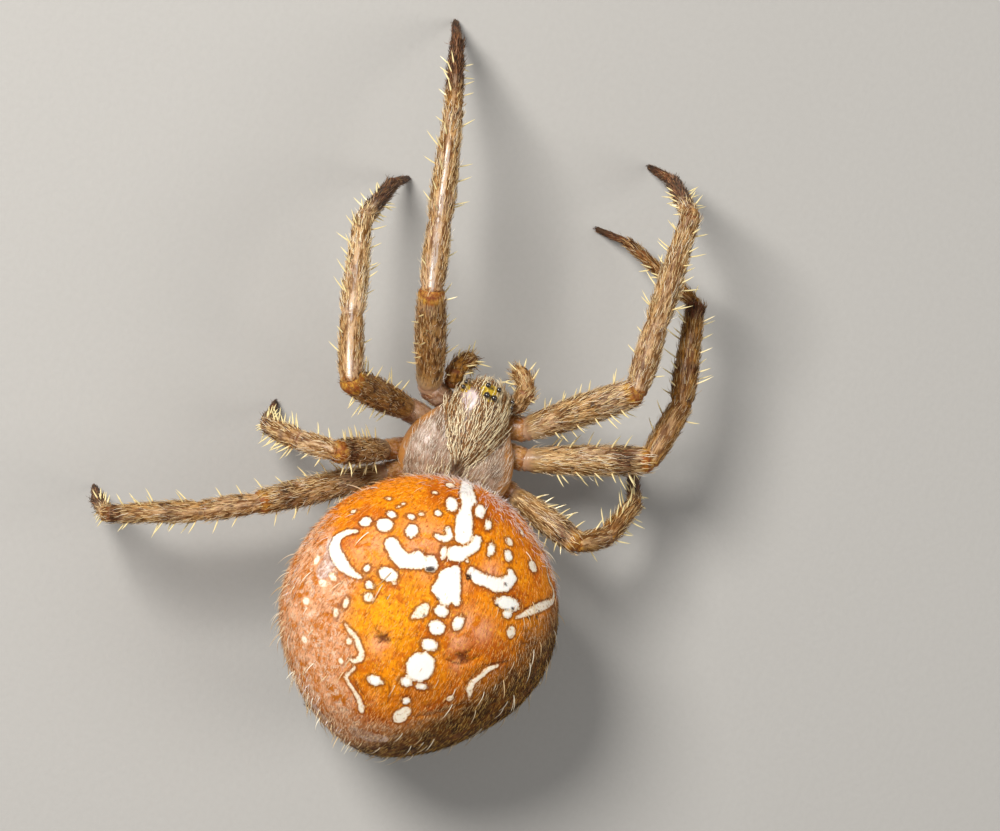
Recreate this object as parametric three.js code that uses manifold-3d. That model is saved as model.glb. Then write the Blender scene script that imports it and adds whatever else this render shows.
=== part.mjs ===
// Garden cross spider, a female full of eggs, life size, as a still model.
// Millimetres. +Z is up, the head looks to -Y and the spider's own left is +X.
// It rests on the floor at z = 0, on a small flat under the belly and one under each foot.
import * as THREE from 'three';
import { mergeVertices } from 'three/addons/utils/BufferGeometryUtils.js';
import Module from 'manifold-3d';

const wasm = await Module();
wasm.setup();

// ---- driving dimensions -------------------------------------------------------------------

const GAP = 0.04;                 // left between pieces that meet
const FOOT_HEIGHT = 0.06;         // middle of a foot's tip, above the floor

const ABDOMEN = {
  centre: [-0.84, 7.55],          // plan position of the middle
  yaw: 6,                         // degrees, rear end towards the spider's right
  halfWidth: 5.89,
  halfLength: 6.15,
  taper: 0.25,                    // how much narrower it grows towards the rear
  swing: 0.34,                    // how far the rear end leans to the spider's left
  waistHeight: 6.2,               // level where it is widest
  top: 10.6,
  sink: 0.12,                     // how much of the belly's curve is pressed flat
  lean: 1.7,                      // how far the belly lies behind the back
  tuck: 0.14,                     // how much shorter the belly is than the back
  hollow: 0.34,                   // depth of the dip that the waist and hind legs lie in
  hollowHeight: 4.2,
  hollowTall: 1.5,
  hollowWide: 55,                 // degrees to each side of the front
  aroundSides: 36,
  upSides: 22,
};

const CARAPACE = {
  front: -2.78,
  rear: 3.15,
  margin: [4.72, 4.4],            // height of its edge, front and rear
  depth: 0.25,                    // from the edge down to its underside
  halfWidth: [[-2.78, 1.12], [-1.9, 1.3], [-1.2, 1.5], [-0.5, 1.95], [0.2, 2.35],
    [1.0, 2.52], [1.8, 2.42], [2.5, 2.05], [3.15, 1.4]],
  backHeight: [[-2.78, 0.4], [-1.2, 0.62], [0.0, 0.92], [1.0, 1.08], [2.2, 0.85], [3.15, 0.35]],
  headWidth: [[-2.78, 1.02], [-2.1, 1.2], [-1.2, 1.42], [-0.4, 1.4], [0.4, 1.05], [1.25, 0.4],
    [3.15, 0.3]],
  headHeight: [[-2.78, 0.72], [-2.2, 1.0], [-1.6, 1.18], [-0.8, 1.3], [0.0, 1.3], [0.6, 1.18],
    [1.25, 0.92], [3.15, 0.2]],
  aroundSides: 28,
  alongSides: 18,
};

// eyes: across from the midline, along, diameter
const EYES = {
  front_middle: [0.25, -2.42, 0.23],
  rear_middle: [0.17, -2.02, 0.27],
  front_side: [1.08, -2.2, 0.19],
  rear_side: [1.13, -1.96, 0.19],
};
const EYE_SHOWS = 0.45;           // share of the eye's diameter that stands out of the head

// leg pairs: lengths of femur, patella, tibia, metatarsus and tarsus, the coxa's inner end,
// the hip that it reaches to, and the leg's thickness beside the front leg's
const LEG_PAIRS = {
  leg1: {
    lengths: [5.3, 2.9, 4.9, 5.1, 1.9],
    inner: [1.05, -1.12, 3.62],
    hip: [2.25, -1.4, 4.15],
    thick: 1.0,
  },
  leg2: {
    lengths: [5.3, 2.75, 4.35, 4.65, 1.8],
    inner: [1.28, -0.12, 3.6],
    hip: [2.75, -0.2, 3.95],
    thick: 0.97,
  },
  leg3: {
    lengths: [3.65, 1.78, 2.18, 2.48, 1.3],
    inner: [1.28, 0.85, 3.55],
    hip: [2.85, 1.3, 3.8],
    thick: 0.84,
  },
  leg4: {
    lengths: [5.9, 2.45, 3.95, 4.1, 1.55],
    inner: [1.02, 1.75, 3.45],
    hip: [2.45, 2.65, 3.6],
    thick: 0.87,
  },
};

// the pose: heading of each length in degrees from straight ahead towards the spider's left,
// and its rise above the level; the tarsus runs down to the floor
const POSE = {
  leg1_left: { heading: [31, 14, 15, 7, 10], rise: [39, -17, -10, -53] },
  leg2_left: { heading: [90, 19, 14, -28, -53], rise: [51, -21, -21, -58] },
  leg3_left: { heading: [112, 97, 88, -30, -14], rise: [47, -37, -56, -77], hipShift: [0, 0.45, 0] },
  leg4_left: { heading: [125, 121, 115, 20, 15], rise: [16, 8, 1, -84] },
  leg1_right: { heading: [-44, 4, 7, 12, 72], rise: [32, -14, 4, -73] },
  leg2_right: { heading: [-66, -9, 15, 65, 87], rise: [14, -11, -3, -43] },
  leg3_right: { heading: [-105, -59, -24, -1, 10], rise: [28, -35, -28, -65] },
  leg4_right: { heading: [-130, -176, -219, -254, -266], rise: [-18, -10, -8, -3] },
};

// half thickness of a leg of thick 1.0: along coxa, femur, patella, tibia, metatarsus, tarsus
const LEG_PROFILE = {
  coxa: [0.44, 0.54, 0.58, 0.55],
  femur: [0.55, 0.66, 0.7, 0.64, 0.54],
  patella: [0.54, 0.59, 0.58, 0.52],
  tibia: [0.52, 0.54, 0.49, 0.43, 0.4],
  metatarsus: [0.4, 0.36, 0.31],
  tarsus: [0.31, 0.3, 0.27],
};
const THINNEST = 0.26;            // no leg piece is thinner than this from middle to surface
const LEG_SIDES = 10;

const PALPS = {
  left: [[1.3, -2.02, 3.75], [1.44, -2.16, 4.2], [1.6, -2.55, 4.42], [1.3, -3.02, 4.25], [0.84, -3.22, 3.55]],
  right: [[-1.36, -2.08, 3.85], [-1.48, -2.28, 4.45], [-1.52, -2.88, 4.75], [-1.22, -3.35, 4.5], [-0.86, -3.55, 3.85]],
};
const PALP_PROFILE = [0.28, 0.38, 0.43, 0.43, 0.4, 0.41, 0.38, 0.28];

const CHELICERA = {
  top: [0.5, -1.86, 4.3],
  foot: [0.48, -2.32, 2.75],
  profile: [0.4, 0.44, 0.43, 0.38, 0.3],
};
const FANG = {
  start: [0.64, -2.24, 2.5],
  bend: [0.42, -2.16, 2.24],
  end: [0.14, -1.92, 2.42],
  profile: [0.17, 0.15, 0.09],
};

const STERNUM = { front: -1.75, rear: 2.35, bottom: 3.02, top: 4.12, halfWidth: 0.98 };
const PEDICEL = { from: [0.0, 2.42, 3.74], to: [-0.45, 4.2, 4.1], radius: 0.34 };
const SPINNERETS = {
  along: 3.95,
  height: 2.0,
  ring: 0.36,
  radius: 0.42,
  length: 1.75,
  splay: 12,                      // degrees that each leans out
  pairs: 3,
};
const EPIGYNE = { along: -1.6, height: 0.62, size: [0.5, 1.5, 0.42] };

// ---- materials ----------------------------------------------------------------------------

function material(color, roughness) {
  return new THREE.MeshStandardMaterial({ color, roughness, metalness: 0 });
}
const BELLY_COLOUR = 0xd9822b;
const HEAD_COLOUR = 0x9a8468;
const LEG_COLOUR = 0xa57b4a;
const KNEE_COLOUR = 0xb98a4a;
const HORN_COLOUR = 0x3a1f12;
const EYE_COLOUR = 0x120b08;

// ---- shared helpers -----------------------------------------------------------------------

const rad = THREE.MathUtils.degToRad;
const vec = (list) => new THREE.Vector3(...list);

// A closed, welded copy of a geometry, each of its points moved by place(point).
function warp(geometry, place) {
  const points = geometry.attributes.position;
  const point = new THREE.Vector3();
  for (let i = 0; i < points.count; i++) {
    point.fromBufferAttribute(points, i);
    place(point);
    points.setXYZ(i, point.x, point.y, point.z);
  }
  geometry.deleteAttribute('normal');
  geometry.deleteAttribute('uv');
  return mergeVertices(geometry, 1e-4);
}

// Smooth value at x through a short table of [x, value] pairs.
function along(table, x) {
  const last = table.length - 1;
  let i = 0;
  while (i < last - 1 && x > table[i + 1][0]) {
    i += 1;
  }
  const slope = (k) => {
    const before = table[Math.max(k - 1, 0)];
    const after = table[Math.min(k + 1, last)];
    return (after[1] - before[1]) / (after[0] - before[0]);
  };
  const width = table[i + 1][0] - table[i][0];
  const t = THREE.MathUtils.clamp((x - table[i][0]) / width, 0, 1);
  const rise = table[i + 1][1] - table[i][1];
  const bend = (slope(i) * width * (1 - t) - slope(i + 1) * width * t) + rise * (2 * t - 1);
  return table[i][1] + rise * t + t * (1 - t) * bend;
}

// Value at t = 0..1 along evenly spaced profile values.
function profileAt(profile, t) {
  const place = t * (profile.length - 1);
  const i = Math.min(Math.floor(place), profile.length - 2);
  return THREE.MathUtils.lerp(profile[i], profile[i + 1], place - i);
}

function toSolid(geometry) {
  const vertProperties = new Float32Array(geometry.attributes.position.array);
  const triVerts = new Uint32Array(geometry.index.array);
  return new wasm.Manifold(new wasm.Mesh({ numProp: 3, vertProperties, triVerts }));
}

function toGeometry(solid) {
  const mesh = solid.getMesh();
  const geometry = new THREE.BufferGeometry();
  geometry.setAttribute('position', new THREE.BufferAttribute(new Float32Array(mesh.vertProperties), 3));
  geometry.setIndex(new THREE.BufferAttribute(new Uint32Array(mesh.triVerts), 1));
  return geometry;
}

const spider = new THREE.Group();

function add(name, geometry, finish) {
  const mesh = new THREE.Mesh(geometry, finish);
  mesh.name = name;
  spider.add(mesh);
}

// ---- abdomen ------------------------------------------------------------------------------

// A point of the abdomen's surface, grown outwards by extra, from a unit direction.
function abdomenPoint(point, extra) {
  const a = ABDOMEN;
  const below = Math.max(0, -point.z);
  const reach = point.z > 0 ? a.top - a.waistHeight : a.waistHeight + a.sink;
  const height = Math.max(extra > 0 ? -extra : 0, a.waistHeight + (reach + extra) * point.z);
  const turn = THREE.MathUtils.radToDeg(Math.atan2(Math.abs(point.x), -point.y));
  const dip = Math.exp(-(((height - a.hollowHeight) / a.hollowTall) ** 2) - (turn / a.hollowWide) ** 2);
  const girth = 1 - a.hollow * dip;
  const rearward = Math.max(0, point.y) ** 2;
  const x = (point.x * (a.halfWidth + extra) * (1 - a.taper * rearward) + a.swing * rearward) * girth;
  const y = point.y * (a.halfLength + extra) * (1 - a.tuck * below) * girth + a.lean * below ** 1.2;
  const yaw = rad(a.yaw);
  point.x = a.centre[0] + x * Math.cos(yaw) - y * Math.sin(yaw);
  point.y = a.centre[1] + x * Math.sin(yaw) + y * Math.cos(yaw);
  point.z = height;
}

function abdomenGeometry(extra) {
  const ball = new THREE.SphereGeometry(1, ABDOMEN.aroundSides, ABDOMEN.upSides);
  ball.rotateX(Math.PI / 2);
  return warp(ball, (point) => abdomenPoint(point, extra));
}

// Places something made upright at the abdomen's own midline.
function toAbdomenFrame(geometry, alongAxis, height) {
  const yaw = rad(ABDOMEN.yaw);
  geometry.rotateZ(yaw);
  const x = ABDOMEN.centre[0] - alongAxis * Math.sin(yaw);
  const y = ABDOMEN.centre[1] + alongAxis * Math.cos(yaw);
  return geometry.translate(x, y, height);
}

// ---- carapace and eyes --------------------------------------------------------------------

// Height of the carapace above its edge, x across from the midline, at y.
function carapaceHeight(x, y, halfWidth) {
  const across = Math.min(1, Math.abs(x) / halfWidth);
  const back = along(CARAPACE.backHeight, y) * Math.sqrt(1 - across ** 2);
  const over = Math.min(1, Math.abs(x) / along(CARAPACE.headWidth, y));
  const head = along(CARAPACE.headHeight, y) * (1 - over ** 2) ** 0.55;
  const sharp = 5;
  return Math.log(Math.exp(sharp * back) + Math.exp(sharp * head) - 1) / sharp;
}

function carapaceMargin(y) {
  const t = (y - CARAPACE.front) / (CARAPACE.rear - CARAPACE.front);
  return THREE.MathUtils.lerp(CARAPACE.margin[0], CARAPACE.margin[1], t);
}

function carapaceGeometry() {
  const c = CARAPACE;
  const ball = new THREE.SphereGeometry(1, c.aroundSides, c.alongSides);
  return warp(ball, (point) => {
    const ring = Math.sqrt(Math.max(0, 1 - point.y ** 2));
    const side = ring > 1e-6 ? point.x / ring : 0;
    const up = ring > 1e-6 ? point.z / ring : 0;
    const round = Math.sqrt(Math.max(0, 1 - point.y ** 6));
    const y = THREE.MathUtils.lerp(c.front, c.rear, (point.y + 1) / 2);
    const halfWidth = along(c.halfWidth, y);
    const shade = carapaceHeight(side * halfWidth, y, halfWidth);
    const lift = up > 0 ? shade : c.depth * up;
    point.set(side * halfWidth * round, y, carapaceMargin(y) + lift * round);
  });
}

function eyePlaces() {
  const places = [];
  for (const [name, [x, y, diameter]] of Object.entries(EYES)) {
    for (const [side, sign] of [['left', 1], ['right', -1]]) {
      const height = carapaceMargin(y) + carapaceHeight(x, y, along(CARAPACE.halfWidth, y));
      const outward = new THREE.Vector3(sign * x * 0.55, -0.45, 0.55).normalize();
      const centre = new THREE.Vector3(sign * x, y, height);
      centre.addScaledVector(outward, diameter * (EYE_SHOWS - 0.5));
      places.push({ name: `eye_${name}_${side}`, centre, radius: diameter / 2 });
    }
  }
  return places;
}

function eyeGeometry(place, extra) {
  const ball = new THREE.SphereGeometry(place.radius + extra, 10, 6);
  ball.translate(place.centre.x, place.centre.y, place.centre.z);
  return warp(ball, () => {});
}

// ---- legs ---------------------------------------------------------------------------------

// Direction of a leg length from its heading and rise in degrees.
function direction(heading, rise) {
  const flat = Math.cos(rad(rise));
  return new THREE.Vector3(Math.sin(rad(heading)) * flat, -Math.cos(rad(heading)) * flat, Math.sin(rad(rise)));
}

// The joints of a leg: inner end, hip, knee and so on to the tip, which is set on the floor.
function legJoints(pair, pose, sign) {
  const mirrored = (list) => new THREE.Vector3(sign * list[0], list[1], list[2]);
  const hip = mirrored(pair.hip).add(vec(pose.hipShift ?? [0, 0, 0]));
  const joints = [mirrored(pair.inner), hip];
  pair.lengths.forEach((length, i) => {
    const from = joints[joints.length - 1];
    const toFloor = THREE.MathUtils.radToDeg(Math.asin((FOOT_HEIGHT - from.z) / length));
    const rise = i < pose.rise.length ? pose.rise[i] : toFloor;
    joints.push(from.clone().addScaledVector(direction(pose.heading[i], rise), length));
  });
  return joints;
}

// A run of straight lengths, each with its own profile, as one closed body.
// Its two ends are cut on planes with the normals given.
function limbGeometry(joints, profiles, startNormal, endNormal) {
  const ways = [];
  for (let i = 0; i + 1 < joints.length; i++) {
    ways.push(joints[i + 1].clone().sub(joints[i]).normalize());
  }
  const bendAxis = ways.length > 1
    ? new THREE.Vector3().crossVectors(ways[0], ways[1]).normalize()
    : new THREE.Vector3(ways[0].y, -ways[0].x, 0).normalize();
  const normals = [startNormal];
  for (let i = 0; i + 1 < ways.length; i++) {
    normals.push(ways[i].clone().add(ways[i + 1]).normalize());
  }
  normals.push(endNormal);
  const rings = [{ length: 0, t: 0 }];
  profiles.forEach((profile, length) => {
    for (let k = 1; k < profile.length; k++) {
      rings.push({ length, t: k / (profile.length - 1) });
    }
  });
  const tube = new THREE.CylinderGeometry(1, 1, 1, LEG_SIDES, rings.length - 1);
  return warp(tube, (point) => {
    const ring = rings[Math.round((0.5 - point.y) * (rings.length - 1))];
    const way = ways[ring.length];
    const outward = bendAxis.clone().multiplyScalar(point.x);
    outward.addScaledVector(new THREE.Vector3().crossVectors(way, bendAxis), point.z);
    const profile = profiles[ring.length];
    const onPlane = (joint, normal, radius) => {
      const spot = joint.clone().addScaledVector(outward, radius);
      const slide = joint.clone().sub(spot).dot(normal) / way.dot(normal);
      return spot.addScaledVector(way, slide);
    };
    const first = profile[0];
    const last = profile[profile.length - 1];
    const start = onPlane(joints[ring.length], normals[ring.length], first);
    const end = onPlane(joints[ring.length + 1], normals[ring.length + 1], last);
    point.copy(start).lerp(end, ring.t);
    point.addScaledVector(outward, profileAt(profile, ring.t) - THREE.MathUtils.lerp(first, last, ring.t));
    point.z = Math.max(0, point.z);
  });
}

// One length or more of a leg, shortened at both ends so that it clears its neighbours.
function legPiece(joints, from, to, profiles) {
  const normalAt = (i) => {
    const normal = new THREE.Vector3();
    if (i > 0) {
      normal.add(joints[i].clone().sub(joints[i - 1]).normalize());
    }
    if (i + 1 < joints.length) {
      normal.add(joints[i + 1].clone().sub(joints[i]).normalize());
    }
    return normal.normalize();
  };
  const startNormal = normalAt(from);
  const endNormal = normalAt(to);
  const run = joints.slice(from, to + 1).map((joint) => joint.clone());
  const startWay = run[1].clone().sub(run[0]).normalize();
  const endWay = run[run.length - 1].clone().sub(run[run.length - 2]).normalize();
  run[0].addScaledVector(startWay, GAP / 2 / startWay.dot(startNormal));
  if (to + 1 < joints.length) {
    run[run.length - 1].addScaledVector(endWay, -GAP / 2 / endWay.dot(endNormal));
  }
  return limbGeometry(run, profiles, startNormal, endNormal);
}

function addLeg(name, pair, pose, sign) {
  const joints = legJoints(pair, pose, sign);
  const sized = {};
  for (const [part, profile] of Object.entries(LEG_PROFILE)) {
    sized[part] = profile.map((radius) => Math.max(THINNEST, radius * pair.thick));
  }
  const legSkin = material(LEG_COLOUR, 0.6);
  add(`${name}_coxa`, legPiece(joints, 0, 1, [sized.coxa]), material(KNEE_COLOUR, 0.5));
  add(`${name}_femur`, legPiece(joints, 1, 2, [sized.femur]), legSkin.clone());
  add(`${name}_patella`, legPiece(joints, 2, 3, [sized.patella]), material(KNEE_COLOUR, 0.45));
  add(`${name}_tibia`, legPiece(joints, 3, 4, [sized.tibia]), legSkin.clone());
  add(`${name}_foot`, legPiece(joints, 4, 6, [sized.metatarsus, sized.tarsus]), legSkin.clone());
}

// ---- mouthparts ---------------------------------------------------------------------------

// A closed body round a smooth curve, its radius following the profile.
function curvedLimb(points, profile, steps, sides) {
  const curve = new THREE.CatmullRomCurve3(points.map(vec));
  const frames = curve.computeFrenetFrames(steps);
  const tube = new THREE.CylinderGeometry(1, 1, 1, sides, steps);
  return warp(tube, (point) => {
    const k = Math.round((0.5 - point.y) * steps);
    const radius = profileAt(profile, k / steps);
    const centre = curve.getPointAt(k / steps);
    centre.addScaledVector(frames.normals[k], point.x * radius);
    centre.addScaledVector(frames.binormals[k], point.z * radius);
    point.copy(centre);
  });
}

function mirrorList(points, sign) {
  return points.map(([x, y, z]) => [x * sign, y, z]);
}

// ---- trunk underside ----------------------------------------------------------------------

function sternumGeometry() {
  const s = STERNUM;
  const ball = new THREE.SphereGeometry(1, 18, 12);
  return warp(ball, (point) => {
    const t = (point.y + 1) / 2;
    const swell = 1.1 - 0.35 * t;
    const y = THREE.MathUtils.lerp(s.front, s.rear, t);
    const x = Math.sign(point.x) * Math.abs(point.x) ** 0.7 * s.halfWidth * swell;
    const flat = Math.sign(point.z) * Math.abs(point.z) ** 0.5;
    point.set(x, y, THREE.MathUtils.lerp(s.bottom, s.top, (flat + 1) / 2));
  });
}

function spinneretSolid() {
  const s = SPINNERETS;
  let cluster = null;
  for (let i = 0; i < s.pairs * 2; i++) {
    const cone = new THREE.CylinderGeometry(s.radius, s.radius * 0.55, s.length, 10);
    cone.rotateX(Math.PI / 2);
    cone.translate(0, 0, -s.length / 2);
    cone.rotateX(rad(-s.splay));
    cone.translate(0, s.ring, 0);
    cone.rotateZ((i + 0.5) * Math.PI / s.pairs);
    const placed = warp(toAbdomenFrame(cone, s.along, s.height), () => {});
    const piece = toSolid(placed);
    cluster = cluster ? cluster.add(piece) : piece;
  }
  return cluster;
}

function epigyneGeometry() {
  const ball = new THREE.SphereGeometry(0.5, 12, 8);
  ball.scale(...EPIGYNE.size);
  return warp(toAbdomenFrame(ball, EPIGYNE.along, EPIGYNE.height), () => {});
}

// ---- assembly -----------------------------------------------------------------------------

const abdomenGrown = toSolid(abdomenGeometry(GAP));
const eyes = eyePlaces();
let carapace = toSolid(carapaceGeometry());
for (const eye of eyes) {
  carapace = carapace.subtract(toSolid(eyeGeometry(eye, GAP / 2)));
}
const sternum = toSolid(sternumGeometry());
const pedicelTube = curvedLimb([PEDICEL.from, PEDICEL.to], [PEDICEL.radius, PEDICEL.radius], 2, 10);
const pedicel = toSolid(pedicelTube).subtract(abdomenGrown);

add('abdomen', abdomenGeometry(0), material(BELLY_COLOUR, 0.55));
add('carapace', toGeometry(carapace), material(HEAD_COLOUR, 0.6));
add('sternum', toGeometry(sternum), material(HORN_COLOUR, 0.6));
add('pedicel', toGeometry(pedicel), material(LEG_COLOUR, 0.6));
add('spinnerets', toGeometry(spinneretSolid().subtract(abdomenGrown)), material(LEG_COLOUR, 0.6));
add('epigyne', toGeometry(toSolid(epigyneGeometry()).subtract(abdomenGrown)), material(HORN_COLOUR, 0.5));
for (const eye of eyes) {
  add(eye.name, eyeGeometry(eye, 0), material(EYE_COLOUR, 0.08));
}
for (const [side, sign] of [['left', 1], ['right', -1]]) {
  const jaw = mirrorList([CHELICERA.top, CHELICERA.foot], sign);
  add(`chelicera_${side}`, curvedLimb(jaw, CHELICERA.profile, 5, 12), material(HORN_COLOUR, 0.4));
  const fang = mirrorList([FANG.start, FANG.bend, FANG.end], sign);
  add(`fang_${side}`, curvedLimb(fang, FANG.profile, 4, 8), material(EYE_COLOUR, 0.25));
  add(`palp_${side}`, curvedLimb(PALPS[side], PALP_PROFILE, 10, 10), material(LEG_COLOUR, 0.6));
  for (const [pairName, pair] of Object.entries(LEG_PAIRS)) {
    addLeg(`${pairName}_${side}`, pair, POSE[`${pairName}_${side}`], sign);
  }
}

// The origin goes on the floor, under the middle of the whole model.
const middle = new THREE.Box3().setFromObject(spider).getCenter(new THREE.Vector3());
spider.position.set(-middle.x, -middle.y, 0);

export default spider;
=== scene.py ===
"""Garden cross spider, life size: its skin, eyes, horn pieces and coat."""
import math
import random

import bmesh
import bpy
import numpy as np
from mathutils import Matrix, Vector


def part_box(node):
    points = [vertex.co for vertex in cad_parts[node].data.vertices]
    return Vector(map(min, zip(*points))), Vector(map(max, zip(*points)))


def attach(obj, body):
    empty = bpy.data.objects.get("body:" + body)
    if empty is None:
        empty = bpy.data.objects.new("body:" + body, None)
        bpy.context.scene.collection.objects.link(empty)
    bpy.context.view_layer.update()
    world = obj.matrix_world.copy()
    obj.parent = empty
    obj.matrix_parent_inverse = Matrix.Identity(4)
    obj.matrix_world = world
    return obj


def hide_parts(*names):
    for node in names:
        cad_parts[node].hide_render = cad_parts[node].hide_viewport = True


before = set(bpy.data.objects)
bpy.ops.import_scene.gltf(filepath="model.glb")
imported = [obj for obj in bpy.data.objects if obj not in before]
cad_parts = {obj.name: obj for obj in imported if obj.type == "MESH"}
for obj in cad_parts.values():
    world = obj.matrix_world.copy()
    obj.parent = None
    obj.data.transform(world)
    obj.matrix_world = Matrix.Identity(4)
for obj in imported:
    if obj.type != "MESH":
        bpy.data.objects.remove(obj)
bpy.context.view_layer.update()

# ---- the body's own frame -------------------------------------------------------------
# Sizes below are millimetres: x to the spider's left, y to its rear, z up, with the origin
# on the floor under the middle of the head's back.

MM = 0.001
HEAD_FRONT = -2.78
head_low, head_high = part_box("carapace")
SHIFT = np.array([
    (head_low[0] + head_high[0]) / 2,
    head_low[1] - HEAD_FRONT * MM,
    0.0,
])
chance = random.Random(11)


def to_scene(points):
    return np.asarray(points, float) * MM + SHIFT


def unit(vectors):
    vectors = np.asarray(vectors, float)
    size = np.linalg.norm(vectors, axis=-1, keepdims=True)
    return vectors / np.maximum(size, 1e-9)


def smooth(value, low, high):
    """0 below low, 1 above high, with a soft turn between."""
    t = np.clip((np.asarray(value, float) - low) / (high - low), 0, 1)
    return t * t * (3 - 2 * t)


def mound(distance, width):
    return np.exp(-(np.asarray(distance, float) / width) ** 2)


def curve_through(table, x):
    """Smooth values at x through a short table of (x, value) pairs."""
    table = np.asarray(table, float)
    xs, ys = table[:, 0], table[:, 1]
    before = np.concatenate([[0], np.arange(len(xs) - 1)]).astype(int)
    after = np.concatenate([np.arange(1, len(xs)), [len(xs) - 1]]).astype(int)
    slopes = (ys[after] - ys[before]) / (xs[after] - xs[before])
    x = np.asarray(x, float)
    i = np.clip(np.searchsorted(xs, x, side="right") - 1, 0, len(xs) - 2)
    width = xs[i + 1] - xs[i]
    t = np.clip((x - xs[i]) / width, 0, 1)
    rise = ys[i + 1] - ys[i]
    bend = slopes[i] * width * (1 - t) - slopes[i + 1] * width * t + rise * (2 * t - 1)
    return ys[i] + rise * t + t * (1 - t) * bend


def laps_and_turns(rows, sides):
    """Angles from pole to pole, as a column, and once around, as a row."""
    lap = np.linspace(0, math.pi, rows)[:, None]
    turn = np.linspace(0, 2 * math.pi, sides, endpoint=False)[None, :]
    return lap, turn


def even_profile(values, t):
    """Values at t = 0..1 through evenly spaced ones."""
    xs = np.linspace(0, 1, len(values))
    return curve_through(np.column_stack([xs, values]), t)


# ---- nodes written as sums ------------------------------------------------------------


def term(operation, swapped=False):
    """A sum of a link and another value, in the order they are written or swapped."""

    def method(self, other):
        return self._sum(operation, *((other, self) if swapped else (self, other)))
    return method


class Link:
    """One output of a node, used in sums as a number is."""

    def __init__(self, nodes, socket):
        self.nodes = nodes
        self.socket = socket

    def _sum(self, operation, *terms):
        return self.nodes.make("ShaderNodeMath", {"operation": operation},
                               dict(enumerate(terms)))

    __add__, __radd__ = term("ADD"), term("ADD", True)
    __sub__, __rsub__ = term("SUBTRACT"), term("SUBTRACT", True)
    __mul__, __rmul__ = term("MULTIPLY"), term("MULTIPLY", True)
    __pow__, most, least = term("POWER"), term("MAXIMUM"), term("MINIMUM")

    def sine(self):
        return self._sum("SINE", self)

    def size(self):
        return self._sum("ABSOLUTE", self)

    def between(self, low, high):
        """0 at low, 1 at high, with a soft turn."""
        settings = {"interpolation_type": "SMOOTHSTEP"}
        inputs = {"Value": self, "From Min": low, "From Max": high}
        return self.nodes.make("ShaderNodeMapRange", settings, inputs)

    def vector(self, operation, *others):
        out = 1 if operation in ("LENGTH", "DOT_PRODUCT") else 0
        inputs = {0: self}
        for i, other in enumerate(others):
            inputs["Scale" if operation == "SCALE" else i + 1] = other
        return self.nodes.make("ShaderNodeVectorMath", {"operation": operation}, inputs, out)

    def part(self, axis):
        return self.nodes.make("ShaderNodeSeparateXYZ", {}, {0: self}, axis)


class Nodes:
    """Adds nodes to one tree."""

    def __init__(self, tree):
        self.tree = tree

    def put(self, socket, value):
        if isinstance(value, Link):
            self.tree.links.new(value.socket, socket)
        elif socket.type == "RGBA" and len(value) == 3:
            socket.default_value = (*value, 1.0)
        else:
            socket.default_value = value

    def make(self, kind, settings=None, inputs=None, out=0):
        node = self.tree.nodes.new(kind)
        for name, value in (settings or {}).items():
            setattr(node, name, value)
        for name, value in (inputs or {}).items():
            self.put(node.inputs[name], value)
        return Link(self, node.outputs[out]) if node.outputs else None

    def mix(self, first, second, share):
        inputs = {0: share, 6: first, 7: second}
        return self.make("ShaderNodeMix", {"data_type": "RGBA"}, inputs, 2)

    def over(self, colour, *layers):
        """Lays colours over a first one, each by its own share."""
        for layer, share in layers:
            colour = self.mix(colour, layer, share)
        return colour

    def noise(self, place, scale, detail=2.0, rough=0.5, twist=0.0):
        inputs = {"Vector": place, "Scale": scale, "Detail": detail,
                  "Roughness": rough, "Distortion": twist}
        return self.make("ShaderNodeTexNoise", {}, inputs)

    def cells(self, place, scale):
        """Distance to the nearest of scattered points."""
        return self.make("ShaderNodeTexVoronoi", {}, {"Vector": place, "Scale": scale})

    def carried(self, name, out=2):
        """A value that the mesh carries: 2 a number, 1 a vector."""
        return self.make("ShaderNodeAttribute", {"attribute_name": name}, {}, out)

    def place(self):
        """Object place in millimetres."""
        here = self.make("ShaderNodeTexCoord", {}, {}, 3)
        return here.vector("SCALE", 1000.0)

    def joined(self, x, y, z):
        return self.make("ShaderNodeCombineXYZ", {}, {0: x, 1: y, 2: z})


class Finish(Nodes):
    """A material under work."""

    def __init__(self, name):
        self.material = bpy.data.materials.new(name)
        self.material.use_nodes = True
        super().__init__(self.material.node_tree)
        self.tree.nodes.clear()

    def end(self, colour, rough, height=None, depth=0.0, shine=0.5, wet=0.0, film=0.2,
            ior=1.5, flesh=False):
        """Ends it: relief of a depth in mm, a wet film over it, and light let in for flesh."""
        inputs = {"Base Color": colour, "Roughness": rough, "Specular IOR Level": shine,
                  "Coat Weight": wet, "Coat Roughness": film, "IOR": ior}
        if flesh:
            inputs.update({"Subsurface Weight": 0.12, "Subsurface Radius": (1.0, 0.45, 0.2),
                           "Subsurface Scale": 0.25 * MM})
        if height is not None:
            bump = {"Strength": 1.0, "Distance": depth * MM, "Height": height}
            inputs["Normal"] = self.make("ShaderNodeBump", {}, bump)
        shader = self.make("ShaderNodeBsdfPrincipled", {}, inputs)
        self.make("ShaderNodeOutputMaterial", {}, {"Surface": shader})
        return self.material


# ---- camera, light and floor ----------------------------------------------------------

VIEW = {
    "aim": (0.0, 0.0, 5.9),        # body point that the view is set from
    "turn": 23.5,                  # degrees that the head is turned in the view
    "lean": (11.0, 2.0),           # degrees off straight down, towards left and rear
    "away": 208.33,
    "offset": (-1.1667, -1.0625),  # where the aim point lies from the middle of the view
    "lens": 180.0,
    "sensor": 36.0,
}


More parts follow.
